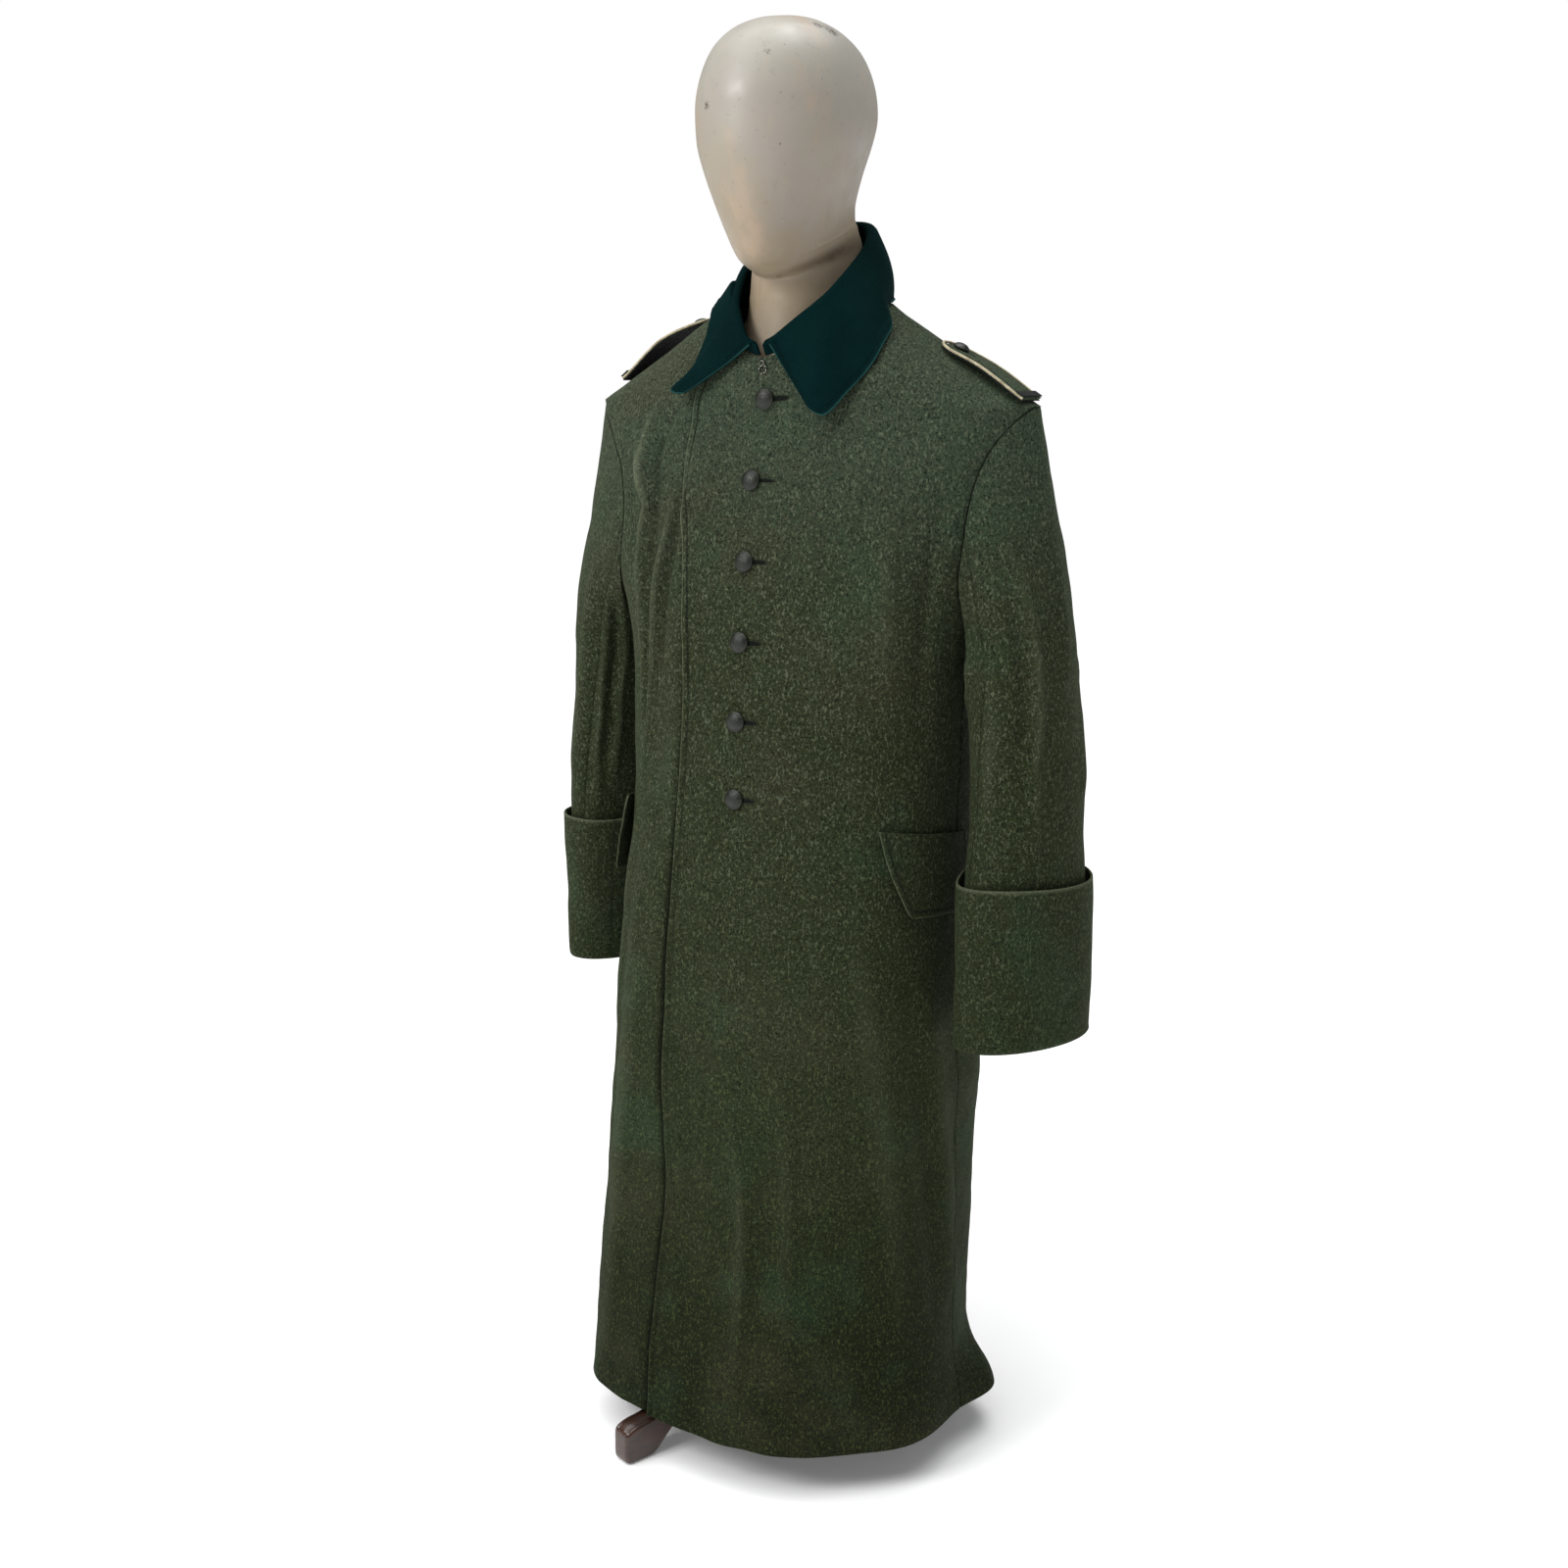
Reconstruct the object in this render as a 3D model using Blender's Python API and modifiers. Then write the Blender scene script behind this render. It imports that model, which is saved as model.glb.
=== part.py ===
"""Long wool military greatcoat on a limbless dress form, metres, +Z up, wearer facing -Y."""

import math

import bpy
import numpy as np
from mathutils import Vector

# Sizes, in metres. The wearer's left is +X, and the floor is z = 0.
CLOTH = 0.0024
SLEEVE_CLOTH = 0.0022
SEAM_GAP = 0.0003
LAP_GAP = 0.0010
HEM_Z = 0.050
ARMPIT = 0.925
SHOULDER = 1.137
NECKLINE = 1.236

BUTTON_TOP_Z = 1.141
BUTTON_STEP = 0.0802
BUTTON_OFF_X = (0.0075, -0.0020, 0.0010, 0.0030, 0.0030, 0.0030)
BUTTON_RADIUS = 0.0105
BUTTON_HEIGHT = 0.0065

CUFF_BOTTOM = 0.491
CUFF_TOP = 0.663
CUFF_CLOTH = 0.0026

COLLAR_CLOTH = 0.0026
COLLAR_ROLL = 0.0045
COLLAR_BULGE = 0.0060

STRAP_LENGTH = 0.100
STRAP_WIDTH = 0.047
STRAP_CLOTH = 0.0026
STRAP_X_LEFT = (0.158, 0.248)
STRAP_X_RIGHT = (0.121, 0.222)
STRAP_Y = 0.008
STRAP_ARCH_LEFT = 0.004
STRAP_ARCH_RIGHT = 0.012
UNDERLAY_CLOTH = 0.0014
PIPING_RADIUS = 0.0014

STAND_X = -0.030
STAND_Y = -0.045
POLE_RADIUS = 0.016
TORSO_BOTTOM = 0.600
NECK_BASE = 1.238
NECK_HALF_WIDTH = 0.062
NECK_HALF_DEPTH = 0.063
NECK_MIDDLE_Y = -0.010
LEG_TURNS = (-109.2, 10.8, 130.8)
LEG_THICK = 0.027
HUB_RADIUS = 0.0425

# The coat's own middle line lies here, so that the origin is under the middle of the whole.
MIDDLE_X = -0.0004
MIDDLE_Y = 0.0164

HOOK_RADIUS = 0.0007
HOOK_COLUMNS = ("x", "z", "ahead")
HOOK_ROWS = (
    (-0.0010, 1.1812, 0.0006),
    (-0.0012, 1.1795, 0.0018),
    (0.0010, 1.1785, 0.0027),
    (0.0040, 1.1780, 0.0027),
    (0.0047, 1.1762, 0.0027),
    (0.0032, 1.1748, 0.0022),
)
EYE_X = 0.0030
EYE_Z = 1.1700
EYE_RADIUS = 0.0042

# The coat's body: a row per section, from the hem to the neckline.
BODY_COLUMNS = ("side_z", "front_z", "back_z", "half_width", "front", "back", "centre_y", "square")
BODY_ROWS = (
    (0.050, 0.050, 0.050, 0.222, 0.199, 0.196, -0.005, 2.35),
    (0.230, 0.230, 0.230, 0.208, 0.186, 0.184, -0.003, 2.40),
    (0.430, 0.430, 0.430, 0.195, 0.171, 0.174, 0.000, 2.50),
    (0.580, 0.580, 0.580, 0.188, 0.159, 0.165, 0.000, 2.60),
    (0.740, 0.740, 0.740, 0.187, 0.145, 0.153, 0.000, 2.50),
    (0.880, 0.880, 0.880, 0.1925, 0.137, 0.145, 0.000, 2.40),
    (0.930, 0.929, 0.931, 0.206, 0.132, 0.142, 0.001, 2.35),
    (0.985, 0.981, 0.988, 0.222, 0.124, 0.138, 0.002, 2.30),
    (1.060, 1.050, 1.070, 0.240, 0.113, 0.130, 0.004, 2.20),
    (1.105, 1.090, 1.120, 0.249, 0.107, 0.124, 0.007, 2.10),
    (1.137, 1.118, 1.146, 0.256, 0.105, 0.118, 0.010, 2.00),
    (1.166, 1.138, 1.178, 0.205, 0.104, 0.108, 0.008, 2.00),
    (1.192, 1.156, 1.203, 0.160, 0.099, 0.094, 0.004, 2.00),
    (1.218, 1.170, 1.224, 0.119, 0.093, 0.080, 0.000, 2.00),
    (1.236, 1.182, 1.242, 0.082, 0.085, 0.066, -0.004, 2.00),
)

# Soft vertical folds: angle at the hem and at the top, width, height at the hem, where it ends.
FOLD_COLUMNS = ("turn_hem", "turn_top", "width", "height_hem", "height_top", "top_z", "fade")
FOLD_ROWS = (
    (-51.0, -48.0, 16.0, 0.0120, 0.0150, 0.660, 0.30),
    (-68.0, -60.0, 11.0, -0.0090, -0.0030, 0.800, 0.30),
    (-33.0, -27.0, 6.0, 0.0000, 0.0050, 1.090, 0.12),
    (9.0, 4.0, 6.0, 0.0035, 0.0010, 0.500, 0.25),
    (22.0, 16.0, 6.0, 0.0030, 0.0008, 0.480, 0.25),
    (48.0, 42.0, 13.0, -0.0080, -0.0020, 0.460, 0.30),
    (112.0, 108.0, 30.0, -0.0300, 0.0000, 0.430, 0.10),
    (108.0, 108.0, 15.0, 0.0370, 0.0300, 0.085, 0.07),
    (146.0, 150.0, 9.0, -0.0070, -0.0020, 0.620, 0.30),
    (168.0, 168.0, 8.0, 0.0060, 0.0020, 0.640, 0.30),
    (-166.0, -168.0, 9.0, 0.0060, 0.0020, 0.600, 0.30),
    (-143.0, -146.0, 9.0, -0.0070, -0.0020, 0.580, 0.30),
    (-118.0, -120.0, 10.0, 0.0060, 0.0020, 0.540, 0.30),
    (-94.0, -94.0, 9.0, -0.0060, -0.0020, 0.460, 0.22),
)

# Where the left front's edge lies over the right front.
EDGE_COLUMNS = ("level", "over_x")
EDGE_ROWS = (
    (0.050, -0.074),
    (0.180, -0.070),
    (0.300, -0.060),
    (0.440, -0.073),
    (0.600, -0.071),
    (0.850, -0.064),
    (0.990, -0.076),
    (1.077, -0.085),
    (1.140, -0.084),
    (1.236, -0.055),
)

# The armholes, from the armpit to the shoulder point: the angles of their fronts and backs.
ARMHOLE_COLUMNS = ("level", "left_front", "left_back", "right_front", "right_back")
ARMHOLE_ROWS = (
    (0.925, 90.0, 90.0, 90.0, 90.0),
    (0.930, 84.0, 101.0, 81.0, 98.0),
    (0.942, 79.0, 109.0, 74.0, 104.5),
    (0.960, 76.0, 114.0, 69.5, 108.5),
    (0.985, 75.0, 117.0, 66.5, 111.0),
    (1.015, 75.0, 118.0, 65.0, 112.0),
    (1.045, 75.5, 117.5, 66.0, 111.5),
    (1.075, 77.0, 115.0, 69.0, 110.0),
    (1.100, 79.5, 111.0, 73.5, 107.0),
    (1.120, 83.0, 105.0, 79.0, 102.0),
    (1.132, 86.5, 98.5, 84.5, 96.5),
    (1.137, 90.0, 90.0, 90.0, 90.0),
)
SKIRT_LEVELS = (0.050, 0.075, 0.110, 0.180, 0.250, 0.320, 0.390, 0.460, 0.530, 0.600, 0.670, 0.740, 0.810, 0.870)
YOKE_LEVELS = (1.150, 1.167, 1.184, 1.202, 1.219, 1.236)

# A hanging sleeve below the armpit: a row per section.
SLEEVE_COLUMNS = ("z", "centre_x", "centre_y", "half_x", "half_y", "twist")
SLEEVE_LEFT = (
    (0.490, 0.2680, 0.000, 0.0400, 0.0790, -25.0),
    (0.560, 0.2670, 0.001, 0.0410, 0.0780, -24.0),
    (0.655, 0.2640, 0.004, 0.0450, 0.0760, -20.0),
    (0.760, 0.2600, 0.009, 0.0490, 0.0715, -12.0),
    (0.860, 0.2500, 0.012, 0.0510, 0.0725, 0.0),
)
SLEEVE_RIGHT = (
    (0.490, 0.2700, 0.046, 0.0370, 0.0710, 17.0),
    (0.560, 0.2700, 0.045, 0.0390, 0.0710, 16.0),
    (0.655, 0.2690, 0.042, 0.0430, 0.0710, 13.0),
    (0.760, 0.2620, 0.037, 0.0490, 0.0715, 8.0),
    (0.860, 0.2490, 0.027, 0.0490, 0.0725, 0.0),
)
SLEEVE_STEPS = (0.12, 0.26, 0.42, 0.60, 0.80)
SLEEVE_LEVELS = (0.860, 0.800, 0.735, 0.670, 0.600, 0.540, CUFF_BOTTOM + CUFF_CLOTH + SEAM_GAP)
FRONT_SEAM_TURN = 108.0
BACK_SEAM_TURN = 236.0

# The collar, from the front to the centre back: its fold line and its outer edge.
COLLAR_COLUMNS = ("turn", "fold_x", "fold_y", "fold_z", "edge_x", "edge_y", "edge_z")
COLLAR_LEFT = (
    (2.0, 0.003, -0.094, 1.193, 0.064, -0.105, 1.131),
    (9.0, 0.013, -0.093, 1.198, 0.079, -0.105, 1.1265),
    (22.0, 0.031, -0.087, 1.213, 0.107, -0.087, 1.149),
    (45.0, 0.058, -0.068, 1.240, 0.121, -0.057, 1.184),
    (60.0, 0.065, -0.044, 1.260, 0.115, -0.036, 1.204),
    (75.0, 0.067, -0.016, 1.280, 0.099, -0.014, 1.224),
    (120.0, 0.054, 0.030, 1.310, 0.074, 0.048, 1.240),
    (180.0, 0.000, 0.054, 1.316, 0.000, 0.084, 1.236),
)
COLLAR_RIGHT = (
    (2.0, 0.003, -0.094, 1.192, 0.090, -0.103, 1.1435),
    (9.0, 0.014, -0.092, 1.197, 0.104, -0.098, 1.1485),
    (22.0, 0.026, -0.084, 1.211, 0.094, -0.082, 1.170),
    (45.0, 0.044, -0.064, 1.238, 0.080, -0.056, 1.205),
    (75.0, 0.0605, -0.014, 1.276, 0.074, -0.008, 1.236),
    (120.0, 0.051, 0.030, 1.308, 0.070, 0.048, 1.240),
    (180.0, 0.000, 0.054, 1.316, 0.000, 0.084, 1.236),
)
COLLAR_TURNS = (2.0, 5.0, 9.0, 15.0, 24.0, 37.0, 50.0, 64.0, 78.0, 93.0, 110.0, 127.0, 145.0, 162.0, 180.0)
COLLAR_DROOP = 0.0070
DROOP_TURN = 22.0

# The pocket flaps: a row for the top and for the bottom, with the front and back ends' angles.
FLAP_COLUMNS = ("level", "front_turn", "back_turn", "front_lift")
FLAP_ROWS = (
    (0.718, 54.5, 96.0, 0.0030),
    (0.632, 63.0, 100.0, 0.0075),
)

# The form's torso: how far it keeps below the coat's outer surface at each level.
TORSO_COLUMNS = ("level", "inset")
TORSO_ROWS = (
    (0.600, 0.034),
    (0.640, 0.026),
    (0.740, 0.022),
    (0.860, 0.020),
    (0.950, 0.018),
    (1.040, 0.015),
    (1.100, 0.009),
    (1.130, 0.0046),
    (1.166, 0.0034),
    (1.192, 0.0033),
    (1.218, 0.0034),
    (1.232, 0.0060),
)

# A leg's side: how far out from the stand's middle, and how high.
LEG_OUTLINE = (
    (0.1885, 0.000),
    (0.1500, 0.000),
    (0.1380, 0.012),
    (0.1150, 0.034),
    (0.0850, 0.056),
    (0.0428, 0.070),
    (0.0428, 0.132),
    (0.0700, 0.128),
    (0.1000, 0.106),
    (0.1220, 0.076),
    (0.1420, 0.0500),
    (0.1500, 0.0455),
    (0.1760, 0.0430),
    (0.1885, 0.038),
)

# The form's head and neck: a row per section, from the neck's base to the crown.
HEAD_COLUMNS = ("z", "half_width", "front_y", "back_y")
HEAD_ROWS = (
    (1.2384, 0.0590, -0.0690, 0.0490),
    (1.2480, 0.0575, -0.0685, 0.0490),
    (1.2580, 0.0560, -0.0700, 0.0490),
    (1.2645, 0.0550, -0.0935, 0.0485),
    (1.2720, 0.0555, -0.1090, 0.0480),
    (1.2870, 0.0590, -0.1220, 0.0470),
    (1.3120, 0.0640, -0.1340, 0.0400),
    (1.3450, 0.0720, -0.1440, 0.0430),
    (1.3850, 0.0810, -0.1510, 0.0540),
    (1.4180, 0.0845, -0.1510, 0.0620),
    (1.4480, 0.0820, -0.1450, 0.0610),
    (1.4740, 0.0740, -0.1320, 0.0530),
    (1.4920, 0.0600, -0.1120, 0.0380),
    (1.5030, 0.0400, -0.0870, 0.0140),
    (1.5080, 0.0185, -0.0610, -0.0110),
)

COLOURS = {
    "wool": (0.085, 0.105, 0.072),
    "collar_cloth": (0.010, 0.055, 0.045),
    "piping": (0.62, 0.58, 0.45),
    "underlay": (0.020, 0.030, 0.025),
    "button_metal": (0.07, 0.075, 0.055),
    "hook_metal": (0.10, 0.10, 0.10),
    "form_shell": (0.66, 0.62, 0.55),
    "stand_wood": (0.16, 0.055, 0.03),
}


def clear_scene():
    for thing in list(bpy.data.objects):
        bpy.data.objects.remove(thing, do_unlink=True)


def material(slot):
    found = bpy.data.materials.get(slot)
    if found:
        return found
    made = bpy.data.materials.new(slot)
    made.use_nodes = True
    shader = made.node_tree.nodes["Principled BSDF"]
    shader.inputs["Base Color"].default_value = (*COLOURS[slot], 1.0)
    shader.inputs["Roughness"].default_value = 0.8
    return made


def collection():
    found = bpy.data.collections.get("greatcoat_on_form")
    if found is None:
        found = bpy.data.collections.new("greatcoat_on_form")
        bpy.context.scene.collection.children.link(found)
    return found


def keep(name, data, slot):
    thing = bpy.data.objects.new(name, data)
    collection().objects.link(thing)
    data.materials.append(material(slot))
    return thing


def through(xs, ys, x):
    """The smooth curve through the points (xs, ys), with no overshoot between them."""
    xs = np.asarray(xs, float)
    ys = np.asarray(ys, float)
    step = np.diff(xs)
    slope = np.diff(ys) / step
    tangent = np.concatenate([[slope[0]], (slope[:-1] + slope[1:]) / 2, [slope[-1]]])
    least = np.minimum(np.abs(slope[:-1]), np.abs(slope[1:]))
    inner = np.clip(tangent[1:-1], -3 * least, 3 * least)
    tangent[1:-1] = np.where(slope[:-1] * slope[1:] > 0, inner, 0.0)
    x = np.asarray(x, float)
    i = np.clip(np.searchsorted(xs, x, side="right") - 1, 0, len(step) - 1)
    t = (x - xs[i]) / step[i]
    rise = ys[i] * (2 * t**3 - 3 * t**2 + 1) + ys[i + 1] * (3 * t**2 - 2 * t**3)
    lean = tangent[i] * (t**3 - 2 * t**2 + t) + tangent[i + 1] * (t**3 - t**2)
    return rise + step[i] * lean


def column(rows, columns, name):
    return [row[columns.index(name)] for row in rows]


def body_value(name, level):
    return through(column(BODY_ROWS, BODY_COLUMNS, "side_z"), column(BODY_ROWS, BODY_COLUMNS, name), level)


def half_width(level):
    """The half width, with a corner at the shoulder point between the side and the shoulder's top."""
    level = np.asarray(level, float)
    low = [row for row in BODY_ROWS if row[0] <= SHOULDER]
    high = [row for row in BODY_ROWS if row[0] >= SHOULDER]
    below = through(column(low, BODY_COLUMNS, "side_z"), column(low, BODY_COLUMNS, "half_width"), level)
    above = through(column(high, BODY_COLUMNS, "side_z"), column(high, BODY_COLUMNS, "half_width"), level)
    return np.where(level < SHOULDER, below, above)


def ease(value):
    value = np.clip(value, 0.0, 1.0)
    return value * value * (3.0 - 2.0 * value)


def folds(turn, z):
    """How far the soft folds lift the cloth here, at this angle and height."""
    total = np.zeros(np.broadcast(turn, z).shape)
    for turn_hem, turn_top, width, height_hem, height_top, top_z, fade in FOLD_ROWS:
        rise = np.clip((z - HEM_Z) / (top_z - HEM_Z), 0.0, 1.0)
        centre = turn_hem + (turn_top - turn_hem) * rise
        away = (np.degrees(turn) - centre + 180.0) % 360.0 - 180.0
        height = height_hem + (height_top - height_hem) * rise
        total = total + height * np.exp(-((away / width) ** 2)) * ease((top_z + fade / 2 - z) / fade)
    return total


def body_point(turn, level):
    """The coat's outer surface. The angle is 0 in front and grows towards the wearer's left."""
    turn, level = np.broadcast_arrays(np.asarray(turn, float), np.asarray(level, float))
    wide = half_width(level)
    square = body_value("square", level)
    across = np.sin(turn)
    ahead = np.cos(turn)
    depth = np.where(ahead > 0, body_value("front", level), body_value("back", level))
    radius = ((np.abs(across) / wide) ** square + (np.abs(ahead) / depth) ** square) ** (-1 / square)
    reach = np.abs(radius * across) / wide
    end_z = np.where(ahead > 0, body_value("front_z", level), body_value("back_z", level))
    z = end_z + (level - end_z) * reach**1.5
    radius = radius + folds(turn, z)
    return np.stack([radius * across, body_value("centre_y", level) - radius * ahead, z], -1)


def unit(vectors):
    return vectors / np.maximum(np.linalg.norm(vectors, axis=-1, keepdims=True), 1e-12)


def body_normal(turn, level):
    step = 1e-4
    along = body_point(turn + step, level) - body_point(turn - step, level)
    low = np.where(np.abs(level - SHOULDER) < step, level, level - step)
    up = body_point(turn, level + step) - body_point(turn, low)
    return unit(np.cross(along, up))


def spaced_turns(level, start, end, count):
    """Angles from start to end at this level, with even steps along the cloth."""
    turns = np.linspace(start, end, 120)
    points = body_point(turns, level)
    along = np.concatenate([[0.0], np.cumsum(np.linalg.norm(np.diff(points, axis=0), axis=1))])
    return np.interp(np.linspace(0.0, along[-1], count), along, turns)


def turn_at_x(level, x):
    turns = np.radians(np.linspace(-75.0, 75.0, 151))
    return float(np.interp(x, body_point(turns, level)[:, 0], turns))


def mesh_object(name, points, faces, slot, smooth=True):
    """One closed body from points and faces, turned so that its faces point outwards."""
    points = np.asarray(points, float)
    volume = 0.0
    for face in faces:
        for i in range(1, len(face) - 1):
            volume += np.dot(points[face[0]], np.cross(points[face[i]], points[face[i + 1]]))
    if volume < 0:
        faces = [tuple(reversed(face)) for face in faces]
    data = bpy.data.meshes.new(name)
    data.from_pydata([tuple(p) for p in points], [], faces)
    data.update()
    for polygon in data.polygons:
        polygon.use_smooth = smooth
    return keep(name, data, slot)


def wall(name, outer, inner, slot, tube=False):
    """A cloth wall between two grids of the same shape. A tube joins its last column to its first."""
    rows, cols = outer.shape[:2]
    half = rows * cols
    points = np.concatenate([outer.reshape(-1, 3), inner.reshape(-1, 3)])
    faces = []
    last = cols if tube else cols - 1
    for r in range(rows - 1):
        for c in range(last):
            a = r * cols + c
            b = r * cols + (c + 1) % cols
            faces.append((a, b, b + cols))
            faces.append((a, b + cols, a + cols))
            faces.append((half + b + cols, half + b, half + a))
            faces.append((half + a + cols, half + b + cols, half + a))
    for c in range(last):
        a = c
        b = (c + 1) % cols
        top = (rows - 1) * cols
        faces.append((b, a, half + a, half + b))
        faces.append((top + a, top + b, half + top + b, half + top + a))
    if not tube:
        for r in range(rows - 1):
            a = r * cols
            b = a + cols - 1
            faces.append((a, a + cols, half + a + cols))
            faces.append((a, half + a + cols, half + a))
            faces.append((b + cols, b, half + b + cols))
            faces.append((b, half + b, half + b + cols))
    return mesh_object(name, points, faces, slot)


def stack(name, rings, slot, pole=None):
    """A closed body from a stack of rings, capped flat below and, with no pole, above."""
    rings = np.asarray(rings, float)
    rows, cols = rings.shape[:2]
    points = rings.reshape(-1, 3).tolist()
    faces = [tuple(range(cols))]
    for r in range(rows - 1):
        for c in range(cols):
            a = r * cols + c
            b = r * cols + (c + 1) % cols
            faces.append((a, a + cols, b + cols, b))
    top = (rows - 1) * cols
    if pole is None:
        faces.append(tuple(reversed(range(top, top + cols))))
    else:
        points.append(pole)
        for c in range(cols):
            faces.append((top + c, len(points) - 1, top + (c + 1) % cols))
    return mesh_object(name, points, faces, slot)


def panel(name, levels, turns, slot, seams, sink=None):
    """A cut piece of the coat's body: a wall on the body's surface, sunk inwards where asked.

    At a seam's column the wall is square to the seam, so that both pieces keep the same gap."""
    outer = body_point(turns, levels)
    normal = body_normal(turns, levels)
    for end, axis in seams:
        on_seam = np.abs(np.abs(np.sin(turns[:, end])) - (1.0 if axis == 1 else 0.0)) < 1e-4
        normal[on_seam, end, axis] = 0.0
    normal = unit(normal)
    if sink is not None:
        outer = outer - normal * sink[..., None]
    return wall(name, outer, outer - normal * CLOTH, slot)


def seam_turn(level, turn, side):
    """The angle of a seam, less half the gap that its two pieces keep."""
    radius = float(np.linalg.norm(body_point(turn, level)[:2]))
    return turn - side * SEAM_GAP / 2 / radius


def armhole_turn(level, name):
    levels = column(ARMHOLE_ROWS, ARMHOLE_COLUMNS, "level")
    return math.radians(float(np.interp(level, levels, column(ARMHOLE_ROWS, ARMHOLE_COLUMNS, name))))


def panel_levels():
    return (*SKIRT_LEVELS, *column(ARMHOLE_ROWS, ARMHOLE_COLUMNS, "level"), *YOKE_LEVELS)


def hand_of(side):
    return "left" if side > 0 else "right"


def left_edge_turn(level):
    levels = column(EDGE_ROWS, EDGE_COLUMNS, "level")
    return turn_at_x(level, float(through(levels, column(EDGE_ROWS, EDGE_COLUMNS, "over_x"), level)))


def side_end(level, name):
    """Where a front or back panel ends: the side seam, the armhole or the shoulder seam."""
    if ARMPIT < level < SHOULDER:
        return armhole_turn(level, name)
    return seam_turn(level, math.pi / 2, 1 if name.endswith("front") else -1)


def make_fronts():
    """The two fronts. The right one runs on under the left one's lap, at the same angles."""
    levels = panel_levels()
    left = []
    right = []
    sink = []
    for level in levels:
        edge = left_edge_turn(level)
        over = spaced_turns(level, edge, side_end(level, "left_front"), 15)
        open_part = spaced_turns(level, -side_end(level, "right_front"), edge, 11)
        left.append(over)
        right.append(np.concatenate([open_part, over[1:7]]))
        sink.append(np.concatenate([ease(np.linspace(0.0, 1.12, 11)), np.ones(6)]))
    grid = np.repeat(np.array(levels)[:, None], 15, 1)
    panel("front_left", grid, np.array(left), "wool", ((-1, 1),))
    grid = np.repeat(np.array(levels)[:, None], 17, 1)
    panel("front_right", grid, np.array(right), "wool", ((0, 1),), sink=np.array(sink) * (CLOTH + LAP_GAP))


def make_backs():
    levels = panel_levels()
    for name, side in (("back_left", 1), ("back_right", -1)):
        turns = []
        for level in levels:
            start = side_end(level, hand_of(side) + "_back")
            centre = math.pi - SEAM_GAP / 2 / body_value("back", level)
            turns.append(side * spaced_turns(level, start, centre, 12))
        grid = np.repeat(np.array(levels)[:, None], 12, 1)
        panel(name, grid, np.array(turns), "wool", ((0, 1), (-1, 0)))


def armhole_ring(side):
    """An armhole as levels and angles: shoulder point, down the front, armpit, up the back."""
    hand = hand_of(side)
    levels = column(ARMHOLE_ROWS, ARMHOLE_COLUMNS, "level")
    front = [math.radians(turn) for turn in column(ARMHOLE_ROWS, ARMHOLE_COLUMNS, hand + "_front")]
    back = [math.radians(turn) for turn in column(ARMHOLE_ROWS, ARMHOLE_COLUMNS, hand + "_back")]
    ring_levels = np.array(levels[::-1] + levels[1:-1])
    ring_turns = np.array(front[::-1] + back[1:-1])
    return ring_levels, ring_turns * side


def ring_angles(points):
    """An angle for each point of the armhole: 0 at the shoulder, half a turn at the armpit."""
    half = len(points) // 2
    closed = np.concatenate([points, points[:1]])
    steps = np.linalg.norm(np.diff(closed, axis=0), axis=1)
    front = np.concatenate([[0.0], np.cumsum(steps[:half])])
    back = np.concatenate([[0.0], np.cumsum(steps[half:])])
    angles = np.concatenate([front / front[-1] * math.pi, math.pi + back[1:-1] / back[-1] * math.pi])
    return angles


def sleeve_section(rows, z, angles):
    zs = column(rows, SLEEVE_COLUMNS, "z")
    centre_x, centre_y, half_x, half_y, twist = (
        float(through(zs, column(rows, SLEEVE_COLUMNS, name), z)) for name in SLEEVE_COLUMNS[1:]
    )
    out = half_x * np.cos(angles)
    back = -half_y * np.sin(angles)
    turn = math.radians(twist)
    x = centre_x + out * math.cos(turn) - back * math.sin(turn)
    y = centre_y + out * math.sin(turn) + back * math.cos(turn)
    return np.stack([x, y, np.full(len(angles), z)], -1)


def tube_normal(grid):
    """Outward normals of a tube given as a stack of rings from the armhole down."""
    around = np.roll(grid, -1, 1) - np.roll(grid, 1, 1)
    down = np.gradient(grid, axis=0)
    normal = unit(np.cross(around, down))
    outward = grid - grid.mean(1, keepdims=True)
    if np.sum(normal[-1] * outward[-1]) < 0:
        normal = -normal
    return normal


def sleeve_grid(rows, side):
    """A sleeve's outer surface, from the armhole to its end, and its inner surface, as for the left."""
    levels, turns = armhole_ring(side)
    seam = mirrored(body_point(turns, levels), side)
    body_out = mirrored(body_normal(turns, levels), side)
    angles = ring_angles(seam)
    below = sleeve_section(rows, SLEEVE_LEVELS[0], angles)
    length = np.linalg.norm(below - seam, axis=1)[:, None]
    lean = [0.17 + 0.05 * np.cos(angles), -0.12 * np.sin(angles), np.full(len(angles), -0.97)]
    start = unit(unit(below - seam) + 0.35 * np.stack(lean, -1))
    first = seam + start * length * 0.36
    second = below + np.array([0.0, 0.0, 1.0]) * length * 0.34
    rings = [seam]
    for t in SLEEVE_STEPS:
        s = 1 - t
        rings.append(s**3 * seam + 3 * s * s * t * first + 3 * s * t * t * second + t**3 * below)
    for z in SLEEVE_LEVELS:
        rings.append(sleeve_section(rows, z, angles))
    grid = np.array(rings)
    normal = tube_normal(grid)
    along_seam = np.roll(seam, -1, 0) - np.roll(seam, 1, 0)
    away = unit(np.cross(along_seam, body_out))
    away = away * np.sign(np.sum(away * (seam.mean(0) - seam), -1, keepdims=True))
    facing = np.sum(normal[0] * away, -1, keepdims=True)
    turned = np.maximum(0.0, -np.sum(normal[0] * body_out, -1, keepdims=True))
    shift = 2 * SEAM_GAP + np.maximum(0.0, 1.2 * SLEEVE_CLOTH * facing)
    grid[0] = seam + away * shift + body_out * 3 * SEAM_GAP * turned
    inner = grid - normal * SLEEVE_CLOTH
    return grid, inner, angles


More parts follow.
